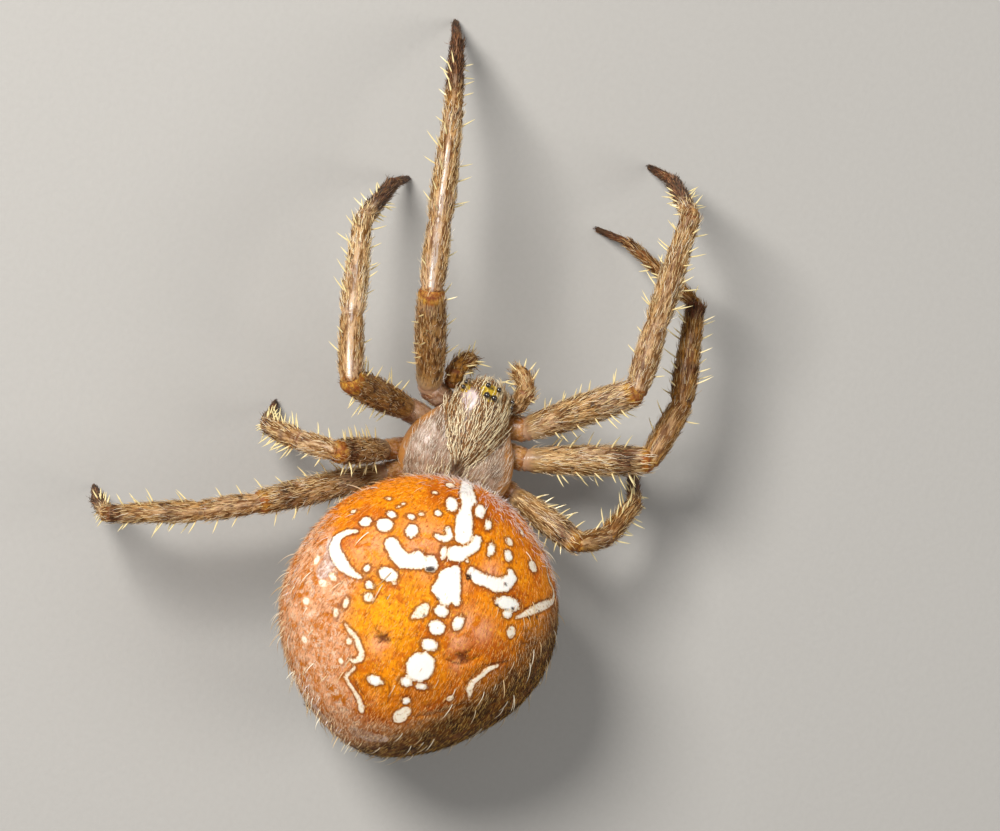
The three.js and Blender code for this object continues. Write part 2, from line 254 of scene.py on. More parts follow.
def view_axes():
    lean_left, lean_rear = (math.tan(math.radians(a)) for a in VIEW["lean"])
    back = unit([lean_left, lean_rear, 1.0])
    turn = math.radians(VIEW["turn"])
    right = np.array([-math.cos(turn), -math.sin(turn), 0.0])
    right = unit(right - right.dot(back) * back)
    return right, np.cross(back, right), back


RIGHT, UP, BACK = view_axes()


def aimed(name, data, place, right, up, back):
    thing = bpy.data.objects.new(name, data)
    bpy.context.scene.collection.objects.link(thing)
    turned = Matrix(np.column_stack([right, up, back]).tolist()).to_4x4()
    turned.translation = place
    thing.matrix_world = turned
    return thing


def set_camera():
    data = bpy.data.cameras.new("camera")
    data.lens = VIEW["lens"]
    data.sensor_width = VIEW["sensor"]
    data.clip_start = 0.01
    data.clip_end = 5.0
    across, upward = VIEW["offset"]
    place = np.array(VIEW["aim"]) + VIEW["away"] * BACK - across * RIGHT - upward * UP
    camera = aimed("camera", data, to_scene(place), RIGHT, UP, BACK)
    bpy.context.scene.camera = camera


def soft_light(name, aside, above, towards, distance, size, power, colour):
    """An area light off the view: aside to the right, above, and towards the viewer."""
    back = unit(aside * RIGHT + above * UP + towards * BACK)
    right = unit(np.cross(UP, back))
    up = np.cross(back, right)
    data = bpy.data.lights.new(name, "AREA")
    data.shape = "DISK"
    data.size = size * MM
    data.energy = power
    data.color = colour
    middle = np.array([-0.4, 3.5, 4.0])
    aimed(name, data, to_scene(middle + back * distance), right, up, back)


def set_lights():
    soft_light("key_light", -0.42, 0.5, 1.0, 190, 80, 0.46, (1.0, 0.97, 0.93))
    soft_light("fill_light", 0.9, -0.15, 0.7, 200, 120, 0.11, (1.0, 0.97, 0.92))
    soft_light("rim_light", -0.5, -1.0, 0.3, 200, 90, 0.05, (1.0, 0.98, 0.96))
    world = bpy.data.worlds.new("studio")
    bpy.context.scene.world = world
    world.use_nodes = True
    back = world.node_tree.nodes["Background"]
    back.inputs["Color"].default_value = (0.96, 0.97, 1.0, 1.0)
    back.inputs["Strength"].default_value = 0.21
    bpy.context.scene.view_settings.view_transform = "Standard"


def set_floor():
    data = bpy.data.meshes.new("floor")
    half = 1.2
    corners = [(-half, -half, 0), (half, -half, 0), (half, half, 0), (-half, half, 0)]
    data.from_pydata(corners, [], [(0, 1, 2, 3)])
    floor = bpy.data.objects.new("floor", data)
    bpy.context.scene.collection.objects.link(floor)
    n = Finish("floor_paper")
    grain = n.noise(n.place(), 4.0, 3.0)
    colour = n.mix((0.42, 0.41, 0.39), (0.45, 0.44, 0.42), grain)
    data.materials.append(n.end(colour, 0.9, grain, 0.01))


# ---- the body's shape -----------------------------------------------------------------

BELLY = {
    "centre": (-0.84, 7.55), "yaw": 6.0, "half_width": 5.89, "half_length": 6.15,
    "taper": 0.25, "swing": 0.34, "waist": 6.2, "top": 10.6, "sink": 0.12, "lean": 1.7,
    "tuck": 0.14, "hollow": 0.34, "hollow_height": 4.2, "hollow_tall": 1.5,
    "hollow_wide": 55.0, "coat": 0.09,
}
UNROLL = 6.0      # mm of back for each radian from the belly's top


def belly_shape(way):
    """Surface points of the belly's outline for unit directions."""
    b = BELLY
    px, py, pz = way[..., 0], way[..., 1], way[..., 2]
    below = np.maximum(0, -pz)
    reach = np.where(pz > 0, b["top"] - b["waist"], b["waist"] + b["sink"])
    height = np.maximum(0, b["waist"] + reach * pz)
    turn = np.degrees(np.arctan2(np.abs(px), -py))
    dip = np.exp(-((height - b["hollow_height"]) / b["hollow_tall"]) ** 2
                 - (turn / b["hollow_wide"]) ** 2)
    girth = 1 - b["hollow"] * dip
    rear = np.maximum(0, py) ** 2
    x = (px * b["half_width"] * (1 - b["taper"] * rear) + b["swing"] * rear) * girth
    y = py * b["half_length"] * (1 - b["tuck"] * below) * girth + b["lean"] * below ** 1.2
    return belly_frame(x, y, height)


def belly_frame(x, y, z):
    yaw = math.radians(BELLY["yaw"])
    cx, cy = BELLY["centre"]
    return np.stack([
        cx + x * math.cos(yaw) - y * math.sin(yaw),
        cy + x * math.sin(yaw) + y * math.cos(yaw),
        z + np.zeros_like(x),
    ], axis=-1)


def unrolled(way):
    """Places on the unrolled back: to the left and to the rear, mm from its top."""
    flat = way[..., :2]
    size = np.linalg.norm(flat, axis=-1, keepdims=True)
    angle = np.arctan2(size, way[..., 2:3])
    return flat / np.maximum(size, 1e-9) * angle * UNROLL


# Marks on the unrolled back, in mm to the left and to the rear. A run is a chain of
# discs (left, rear, radius), drawn as one stroke; a spot is (left, rear, half width,
# half length, turn in degrees).
WHITE_RUNS = [
    # the cross: shaft, the blob behind it, arms and middle
    [(-.06, -8.2, .30), (.02, -7.1, .38), (-.07, -6.35, .46), (-.04, -5.75, .25),
     (-.03, -5.45, .27), (-.03, -4.85, .43), (-.08, -4.1, .40), (-.08, -3.95, .36)],
    [(.04, -3.08, .38), (-.1, -3.1, .34), (-.5, -3.42, .21), (-.74, -3.73, .24),
     (-.81, -4.04, .20)],
    [(-.12, -2.35, .24), (.02, -1.95, .5), (0, -1.5, .6), (-.05, -1.15, .3)],
    [(.1, -1.55, .4), (.45, -1.35, .2)],
    [(-.2, -1.5, .4), (-.55, -1.1, .15)],
    [(2.97, -2.75, .30), (2.62, -2.41, .34), (2.23, -2.15, .36), (1.88, -2.21, .33),
     (1.62, -2.33, .40)],
    [(-.84, -2.54, .2), (-1.19, -2.37, .29), (-1.66, -2.37, .27), (-2.12, -2.35, .33),
     (-2.6, -2.5, .31), (-2.9, -2.88, .27), (-2.78, -3.13, .17)],
    # the shoulder crescent, and the comma beside the shaft
    [(4.87, -3.02, .10), (5.42, -2.91, .16), (5.84, -2.55, .24), (5.79, -2.06, .32),
     (5.45, -1.65, .32), (5.0, -1.31, .30), (4.4, -1.03, .18), (3.8, -.93, .07)],
    [(.64, -4.1, .15), (.48, -3.82, .15), (.65, -3.6, .17), (.93, -3.58, .12),
     (1.14, -3.64, .06)],
]
PALE_RUNS = [
    # the hook on the right shoulder
    [(-3.52, -1.27, .05), (-4.0, -1.55, .13), (-4.44, -1.82, .19), (-5.0, -2.15, .22),
     (-5.7, -2.5, .20), (-6.35, -2.85, .16), (-6.68, -3.3, .14), (-6.4, -3.6, .13),
     (-5.9, -3.8, .11), (-5.7, -4.2, .09), (-5.75, -4.8, .05)],
    # edge lines of the rear field
    [(3.93, 1.19, .05), (3.58, 1.4, .11), (3.17, 1.62, .11), (2.98, 1.88, .11),
     (2.75, 2.13, .14), (2.77, 2.41, .13), (3.0, 2.62, .10), (3.23, 2.62, .06)],
    [(2.9, 2.9, .06), (3.27, 3.55, .10), (2.8, 3.92, .10), (2.3, 4.3, .11),
     (2.05, 4.65, .17), (1.95, 4.9, .15)],
    [(-3.4, .95, .06), (-3.13, 1.1, .10), (-2.92, 1.3, .12), (-2.86, 1.5, .12),
     (-2.68, 1.72, .13), (-2.55, 1.9, .14), (-2.57, 2.2, .15), (-2.75, 2.5, .09),
     (-2.9, 2.8, .04)],
    [(.72, -.5, .2), (.8, -.3, .26), (1.1, .02, .08)],
]
WHITE_SPOTS = [
    (.72, -5.57, .30, .48, 8), (-.76, -5.67, .28, .48, -6), (-1.25, -5.03, .18, .32, -10),
    (1.27, -4.8, .17, .16, 0), (2.48, -4.28, .20, .15, -15), (3.44, -4.23, .24, .17, -35),
    (3.57, -3.58, .42, .34, -20), (4.6, -3.6, .33, .27, -10), (2.23, -3.57, .29, .33, 0),
    (.59, -2.96, .15, .30, 0), (-1.56, -3.81, .20, .32, 0), (-2.53, -3.86, .25, .28, 0),
    (1.0, -2.35, .32, .36, 0), (2.66, -1.39, .44, .30, -8), (3.67, -1.4, .16, .16, 0),
    (3.32, -.74, .22, .15, -20), (-2.95, -1.75, .68, .30, 6), (-3.0, -1.3, .25, .2, 0),
    (0, -.58, .30, .24, 0), (-.02, .12, .35, .30, 0), (-.84, -.31, .22, .32, -12),
    (.03, .87, .36, .25, 0), (.05, 1.87, .62, .64, 0), (.4, 2.68, .30, .20, -10),
    (-.33, 2.66, .30, .14, 10), (0, 3.53, .19, .19, 0), (1.79, 3.1, .38, .24, 12),
]
PALE_SPOTS = [
    (2.04, -4.53, .15, .12, 0), (-2.51, -4.61, .25, .20, 0), (-4.2, -3.95, .33, .28, 0),
    (-.54, -2.95, .08, .08, 0), (2.28, -1.1, .12, .1, 0), (3.17, -.23, .23, .20, 0),
    (-1.9, 2.85, .16, .16, 0), (-3.48, -.63, .27, .25, 0), (3.5, 1.88, .15, .15, 0),
    (3.66, 2.87, .15, .15, 0), (4.5, .87, .13, .25, 0), (4.15, .3, .15, .25, 0),
    (6.1, 2.8, .25, .2, 0), (1.68, -6.1, .15, .12, 0), (.95, -7.0, .25, .25, 0),
    (3.05, -4.95, .1, .1, 0), (3.25, -4.7, .1, .1, 0),
    (-.1, 4.4, .36, .42, 0), (-.2, 4.1, .3, .3, 0), (5.2, -.6, .3, .16, -20),
    (5.7, -.2, .24, .18, 0), (6.4, .9, .3, .2, 0), (6.6, -1.2, .2, .3, 0),
    (3.9, -5.2, .16, .1, -20), (5.6, -4.2, .16, .12, 0), (-3.4, -5.6, .14, .16, 0),
]
DARK_SPOTS = [
    (.95, -2.12, .17, .10, 20), (-.80, -2.27, .14, .13, 0), (-2.62, -2.53, .07, .05, 0),
    (-3.22, -1.6, .08, .06, 0), (-2.9, -1.45, .07, .05, 0), (-2.4, -1.5, .06, .05, 0),
    (.65, -.17, .05, .05, 0), (2.4, -.45, .05, .04, 0), (.3, -1.02, .07, .05, 0),
    (-4.3, -1.5, .10, .09, 0), (-4.9, -1.65, .13, .10, 20), (-5.0, -1.95, .07, .06, 0),
]
# folds of the skin, also darkened as painted shade
CREASES = [
    [(-2.9, 2.85, .02), (-2.2, 3.35, .07), (-1.5, 3.85, .08), (-.7, 4.25, .03)],
    [(-1.9, .35, .02), (-1.75, .7, .07), (-1.35, .95, .04)],
    [(-2.3, .75, .02), (-1.9, 1.12, .06), (-1.4, 1.3, .05), (-.9, 1.25, .02)],
    [(2.5, .95, .02), (2.1, 1.1, .05), (1.7, 1.35, .02)],
    [(1.2, 2.9, .02), (.9, 3.4, .05), (.8, 4.0, .02)],
    [(-3.9, -1.75, .03), (-4.5, -2.1, .06), (-5.1, -2.43, .07), (-5.8, -2.8, .06),
     (-6.2, -3.2, .03)],
    [(-3.9, .6, .02), (-3.3, .84, .05), (-2.75, 1.1, .06), (-2.4, 1.65, .06), (-2.3, 2.2, .03)],
    [(3.0, 3.35, .03), (2.55, 3.72, .06), (2.1, 4.05, .03)],
]
# frosted, lilac patches
FROST = [
    [(7.6, 6.6, .3), (6.8, 8.0, .5), (5.3, 7.5, .55), (4.1, 7.6, .5), (3.3, 7.9, .3)],
    [(1.9, 6.5, .35), (.9, 6.45, .35), (.1, 6.2, .25)],
    [(6.0, -2.2, .3), (5.6, -1.6, .45), (5.9, -.8, .4)],
    [(-5.2, -6.0, .3), (-6.2, -5.2, .35), (-6.6, -4.4, .25)],
]
# dips where the belly's muscles hold, darkened partly as painted shade: left, rear, depth
SIGILLA = [(.95, -2.14, .5), (-.79, -2.26, .5), (2.02, 1.23, 1.0), (-1.63, .97, 1.0),
           (1.5, 3.7, .4), (-1.2, 3.5, .4)]
FIELD_EDGE = [
    (7.6, -8.0), (7.4, -4.4), (6.4, -3.0), (6.1, -2.4), (5.5, -1.5), (4.6, -.95),
    (3.85, -.9), (4.2, .5), (4.0, 1.2), (3.2, 1.62), (2.75, 2.2), (3.0, 2.7),
    (3.2, 3.6), (2.4, 4.3), (2.0, 5.0), (1.0, 5.2), (0, 4.7), (-1.5, 3.8),
    (-2.8, 2.8), (-2.5, 2.0), (-3.5, .95), (-4.0, .3), (-4.2, -.5), (-4.0, -1.35),
    (-5.5, -2.2), (-6.6, -3.2), (-7.0, -4.3), (-8.0, -6.0), (-6.0, -8.6),
]
# pink patches of the ground, partly its own tint and partly painted sheen: left, rear, width
BLUSHES_AND_SHEENS = [(1.8, -3.2, 1.0), (4.0, -2.4, .9), (-1.8, -2.8, .5), (-1.3, -.4, .6),
           (-1.1, .4, .5), (-2.0, -.3, .5), (2.2, 1.5, .5), (4.9, .6, 1.0),
           (5.6, -.9, .8), (.9, -3.9, .35), (5.6, 2.4, 1.0)]
# the brightest, yellowest ground is partly a painted pool of light where the lamp falls
GLOW = (2.4, .1, 2.2)       # brightest, yellowest ground: left, rear, width


def runs_inside(at, runs):
    """How far inside the nearest stroke each place lies, mm; negative outside."""
    best = np.full(at.shape[:-1], -9.0)
    for run in runs:
        for (x0, y0, r0), (x1, y1, r1) in zip(run, run[1:]):
            way = np.array([x1 - x0, y1 - y0])
            off = at - np.array([x0, y0])
            t = np.clip(off @ way / (way @ way), 0, 1)
            gap = np.linalg.norm(off - t[..., None] * way, axis=-1)
            best = np.maximum(best, r0 + (r1 - r0) * t - gap)
    return best


def spots_inside(at, spots):
    best = np.full(at.shape[:-1], -9.0)
    for x, y, half_width, half_length, turn in spots:
        c, s = math.cos(math.radians(turn)), math.sin(math.radians(turn))
        off = at - np.array([x, y])
        u = (off[..., 0] * c + off[..., 1] * s) / half_width
        v = (off[..., 1] * c - off[..., 0] * s) / half_length
        best = np.maximum(best, (1 - np.hypot(u, v)) * min(half_width, half_length))
    return best


def outline_inside(at, outline):
    """Signed distance into a closed outline."""
    x, y = at[..., 0], at[..., 1]
    nearest = np.full(x.shape, 99.0)
    inside = np.zeros(x.shape, bool)
    for (x0, y0), (x1, y1) in zip(outline, outline[1:] + outline[:1]):
        way = np.array([x1 - x0, y1 - y0])
        off = at - np.array([x0, y0])
        t = np.clip(off @ way / (way @ way), 0, 1)
        nearest = np.minimum(nearest, np.linalg.norm(off - t[..., None] * way, axis=-1))
        crosses = (y0 > y) != (y1 > y)
        if y1 != y0:
            inside ^= crosses & (x < (x1 - x0) * (y - y0) / (y1 - y0) + x0)
    return np.where(inside, nearest, -nearest)


# ---- the skin: closed shells gathered into one mesh ------------------------------------

# What the skin's points carry. The marks and the field are distances into them in mm, and
# the region is a coat's number. The others run from 0 to about 1: on the belly tone is the
# glow and setae the combed coat, and on a femur setae is its clear, coatless foot.
CARRIED_NUMBERS = ("white", "pale", "dark", "field", "blush", "cover", "setae", "region",
                   "band", "ring", "bare", "stand", "shade", "tone", "reach",
                   "seam", "rear", "fringe", "fuzz", "frost", "pit", "bald")
CARRIED_VECTORS = ("lie", "limb")
BELLY_HIDE, HEAD_HIDE, LEG_HIDE, JOINT_HIDE = range(4)      # finishes of the skin


def grid_normals(grid):
    """Outward normals of a grid of rings, rows by sides."""
    around = np.roll(grid, -1, axis=1) - np.roll(grid, 1, axis=1)
    down = np.gradient(grid, axis=0)
    normals = np.cross(down, around)
    for row, near in ((0, 1), (-1, -2)):
        normals[row] = normals[near].mean(axis=0)
    return unit(normals)


class Skin:
    """Closed shells, with what their points carry and their place on the unwrap."""

    def __init__(self):
        self.points = []
        self.faces = []
        self.places = []
        self.slots = []
        self.numbers = {name: [] for name in CARRIED_NUMBERS}
        self.vectors = {name: [] for name in CARRIED_VECTORS}
        self.count = 0

    def add(self, grid, slot, patch, **carried):
        """A grid of rings, whose first and last rows are each one point."""
        rows, sides = grid.shape[:2]

        def ringed(values, width):
            values = np.asarray(values, float)
            shape = (rows, sides, width) if width else (rows, sides)
            full = np.broadcast_to(values, shape)
            return np.concatenate([full[:1, 0], full[1:-1].reshape(-1, *full.shape[2:]),
                                   full[-1:, 0]])

        self.points.append(ringed(grid, 3))
        for name in CARRIED_NUMBERS:
            usual = 1.0 if name == "reach" else 0.0
            self.numbers[name].append(ringed(carried.get(name, usual), 0))
        for name in CARRIED_VECTORS:
            self.vectors[name].append(ringed(carried.get(name, (0.0, 0.0, 0.0)), 3))
        left, low, right, high = patch
        us = left + (right - left) * np.arange(sides + 1) / sides
        vs = low + (high - low) * np.arange(rows) / (rows - 1)
        first, last = self.count, self.count + (rows - 2) * sides + 1

        def at(row, side):
            return first + 1 + (row - 1) * sides + side % sides

        for k in range(sides):
            middle = (us[k] + us[k + 1]) / 2
            self.faces.append((first, at(1, k + 1), at(1, k)))
            self.places += [(middle, vs[0]), (us[k + 1], vs[1]), (us[k], vs[1])]
            self.faces.append((last, at(rows - 2, k), at(rows - 2, k + 1)))
            self.places += [(middle, vs[-1]), (us[k], vs[-2]), (us[k + 1], vs[-2])]
        for row in range(1, rows - 2):
            for k in range(sides):
                self.faces.append((at(row, k), at(row, k + 1),
                                   at(row + 1, k + 1), at(row + 1, k)))
                self.places += [(us[k], vs[row]), (us[k + 1], vs[row]),
                                (us[k + 1], vs[row + 1]), (us[k], vs[row + 1])]
        self.slots += [slot] * (2 * sides + (rows - 3) * sides)
        self.count = last + 1

    def mesh(self, name):
        data = bpy.data.meshes.new(name)
        data.from_pydata(to_scene(np.concatenate(self.points)).tolist(), [], self.faces)
        layer = data.uv_layers.new(name="skin_map")
        layer.data.foreach_set("uv", np.array(self.places, np.float32).ravel())
        for label, parts in self.numbers.items():
            values = np.concatenate(parts).astype(np.float32)
            data.attributes.new(label, "FLOAT", "POINT").data.foreach_set("value", values)
        for label, parts in self.vectors.items():
            values = np.concatenate(parts).astype(np.float32).ravel()
            data.attributes.new(label, "FLOAT_VECTOR", "POINT").data.foreach_set("vector", values)
        data.polygons.foreach_set("material_index", np.array(self.slots, np.int32))
        face_out(data)
        return data


def face_out(data):
    """Turns all faces outward and smooths them."""
    work = bmesh.new()
    work.from_mesh(data)
    bmesh.ops.recalc_face_normals(work, faces=work.faces)
    work.to_mesh(data)
    work.free()
    data.polygons.foreach_set("use_smooth", np.ones(len(data.polygons), bool))


def wander(place, scale, seed):
    """Slow, repeatable unevenness in about -1..1: three octaves of four crossed waves."""
    rng = np.random.default_rng(seed)
    total = np.zeros(place.shape[:-1])
    for k in range(12):
        octave = 2 ** (k // 4)
        way = unit(rng.normal(size=3)) * scale * octave
        total += np.sin(place @ way * 2 * math.pi + rng.uniform(0, 6.3)) / octave / 4
    return total


# the coats' numbers
REGION = {"belly_top": 1.0, "belly_under": 2.0, "head": 4.0, "left_front": 6.0,
          "left_rear": 8.0, "right_front": 10.0, "right_rear": 12.0, "palps": 14.0}


def add_belly(skin):
    rows, sides = 150, 264
    down = np.linspace(0, 1, rows)[:, None]
    fall = math.pi * down * (0.8 + 0.2 * down)      # rows closer together on the marked back
    _, turn = laps_and_turns(rows, sides)
    way = np.stack([np.sin(fall) * np.cos(turn), np.sin(fall) * np.sin(turn),
                    np.cos(fall) + 0 * turn], axis=-1)
    shape = belly_shape(way)
    out = grid_normals(shape)
    at = unrolled(way)
    # the marks, kept off the underside
    off_top = (1 - smooth(way[..., 2], -0.35, -0.1)) * 9.0
    white = np.maximum(runs_inside(at, WHITE_RUNS), spots_inside(at, WHITE_SPOTS)) - off_top
    pale = np.maximum(runs_inside(at, PALE_RUNS), spots_inside(at, PALE_SPOTS)) - off_top
    dark = spots_inside(at, DARK_SPOTS) - off_top
    field = outline_inside(at, FIELD_EDGE) - off_top * 0.5
    crease = runs_inside(at, CREASES) - off_top
    frost = smooth(runs_inside(at, FROST) - off_top, -0.35, 0.25)
    blush = np.zeros_like(field)
    for x, y, width in BLUSHES_AND_SHEENS:
        blush = np.maximum(blush, mound(np.linalg.norm(at - [x, y], axis=-1), width))
    # relief, in mm: slow swells, dips with folds about them, raised marks and creases
    relief = 0.035 * wander(shape, 0.22, 3)
    # how dark the dips, their folds and the creases are painted: partly their own dark, partly
    # painted shade
    pit = np.zeros_like(field)
    for x, y, depth in SIGILLA:
        off = at - [x, y]
        away = np.linalg.norm(off * [0.6, 1.25], axis=-1)
        bearing = np.arctan2(off[..., 1], off[..., 0])
        folds = mound(np.sin(bearing + x), 0.22) * mound(away, 0.85)
        folds += 0.5 * mound(np.sin(3 * bearing + 3 * x), 0.35) * mound(away, 0.5)
        pit = np.maximum(pit, depth * (mound(away, 0.25) + 0.5 * folds))
        relief -= depth * (0.12 * mound(away, 0.22) + 0.03 * folds + 0.05 * mound(away, 0.9))
        # a pink painted highlight just behind each dip
        below = np.linalg.norm(off - [0.1, 0.36], axis=-1)
        blush = np.maximum(blush, 0.9 * depth * mound(below, 0.34))
    relief += 0.012 * smooth(white, -0.03, 0.06) - 0.05 * smooth(crease, -0.16, 0.05)
    # the creases darkened in colour too: painted shade
    pit = np.maximum(pit, 0.75 * smooth(crease, -0.09, 0.03))
    side = smooth(np.linalg.norm(at, axis=-1), 6.5, 9.5)
    relief += 0.02 * side * np.sin(shape[..., 2] * 9 + 2.2 * wander(shape, 0.35, 8))
    # the skin lies inside the outline by the coat's depth, and less on the flat below
    coat = BELLY["coat"] * (1 - 0.8 * smooth(-way[..., 2], 0.9, 0.99))
    points = shape + out * (relief - coat)[..., None]
    points[..., 2] = np.maximum(points[..., 2], 0.004)
    # where the coat is combed, fringed or fuzzy, and where it is darker
    lie = np.array([0.05, 1.0, -0.35])
    # darker to the rear and right and low down: the belly's own brown there, deepened by painted
    # shade
    rear = smooth(0.62 * at[..., 1] - 0.72 * at[..., 0], 2.0, 5.4)
    rear = np.maximum(rear, 0.9 * smooth(-points[..., 2], -5.4, -2.4))
    combed = smooth(0.75 * at[..., 1] - 0.6 * at[..., 0], 0.8, 3.6)
    front_edge = smooth(-at[..., 1] - 0.35 * at[..., 0], 5.6, 8.0)
    fringe = 0.22 + 0.8 * side + 0.5 * front_edge + 0.45 * rear
    fuzz = side * smooth(at[..., 0], -0.5, 3.0) * (1 - 0.8 * rear) + 5.0 * front_edge
    region = np.where(way[..., 2] > 0.15, REGION["belly_top"], REGION["belly_under"])
    cover = 1 - 0.97 * smooth(np.maximum(white, pale - 0.03), -0.09, 0.0)
    cover *= 0.4 + 0.6 * np.maximum(np.maximum(side, rear), combed)
    flat = smooth(points[..., 2], 0.1, 0.6)
    waist = mound(np.linalg.norm(shape - np.array([-0.45, 3.6, 4.1]), axis=-1), 1.2)
    glow = mound(np.hypot(at[..., 0] - GLOW[0], at[..., 1] - GLOW[1]), GLOW[2])
    spread = np.concatenate([at, way[..., 2:3]], axis=-1)
    skin.add(points, BELLY_HIDE, (0.01, 0.5, 0.99, 0.99), limb=spread, tone=glow,
             white=np.clip(white, -1, 1), pale=np.clip(pale, -1, 1),
             dark=np.clip(dark, -1, 1), blush=blush,
             field=np.clip(field, -3, 3), rear=rear, pit=pit, lie=lie,
             fringe=fringe * flat * (1 - waist), fuzz=fuzz * flat * (1 - waist),
             region=region, cover=cover * flat * (1 - waist), stand=0.3 * side,
             shade=side, setae=combed, frost=frost)


HEAD = {
    "front": HEAD_FRONT, "rear": 3.15, "margin": (4.72, 4.4), "depth": 0.25,
    "half_width": [(-2.78, 1.12), (-1.9, 1.3), (-1.2, 1.5), (-.5, 1.95), (.2, 2.35),
                   (1.0, 2.52), (1.8, 2.42), (2.5, 2.05), (3.15, 1.4)],
    "back_height": [(-2.78, .4), (-1.2, .62), (0, .92), (1, 1.08), (2.2, .85), (3.15, .35)],
    "dome_width": [(-2.78, 1.02), (-2.1, 1.2), (-1.2, 1.42), (-.4, 1.4), (.4, 1.05),
                   (1.25, .4), (3.15, .3)],
    "dome_height": [(-2.78, .72), (-2.2, 1.0), (-1.6, 1.18), (-.8, 1.3), (0, 1.3),
                    (.6, 1.18), (1.25, .92), (3.15, .2)],
}
PIT = (0.0, 1.45)        # the groove in the middle of the back
EYES = {
    "front_middle": (.25, -2.42, .23), "rear_middle": (.17, -2.02, .27),
    "front_side": (1.08, -2.2, .19), "rear_side": (1.13, -1.96, .19),
}
EYE_SHOWS = 0.45
# patches of the head's back: middle to the left and rear, half width, half length
PATCHES = {
    "between_eyes": (0.04, -2.2, 0.46, 0.38), "side_eyes": (1.1, -2.08, 0.22, 0.3),
    "bald": (0.74, -1.60, 0.36, 0.46), "thinned": (0.74, -1.56, 0.42, 0.66),
    "sheen": (1.5, 0.6, 0.45, 0.7),
}


def back_height(x, y, half_width):
    across = np.minimum(1, np.abs(x) / half_width)
    back = curve_through(HEAD["back_height"], y) * np.sqrt(1 - across ** 2)
    over = np.minimum(1, np.abs(x) / curve_through(HEAD["dome_width"], y))
    dome = curve_through(HEAD["dome_height"], y) * (1 - over ** 2) ** 0.55
    return np.log(np.exp(5 * back) + np.exp(5 * dome) - 1) / 5


def margin_height(y):
    t = (y - HEAD["front"]) / (HEAD["rear"] - HEAD["front"])
    return HEAD["margin"][0] + (HEAD["margin"][1] - HEAD["margin"][0]) * t


def eye_places():
    """Name, middle, outward way and radius of each eye."""
    places = []
    for name, (x, y, diameter) in EYES.items():
        for side, sign in (("left", 1), ("right", -1)):
            half = curve_through(HEAD["half_width"], y)
            height = margin_height(y) + back_height(x, y, half)
            out = unit([sign * x * 0.55, -0.45, 0.55])
            middle = np.array([sign * x, y, height]) + out * diameter * (EYE_SHOWS - 0.5)
            places.append((f"eye_{name}_{side}", middle, out, diameter / 2))
    return places


def head_patch(name, x, y):
    left, rear, half_width, half_length = PATCHES[name]
    return mound(np.hypot((x - left) / half_width, (y - rear) / half_length), 1.0)


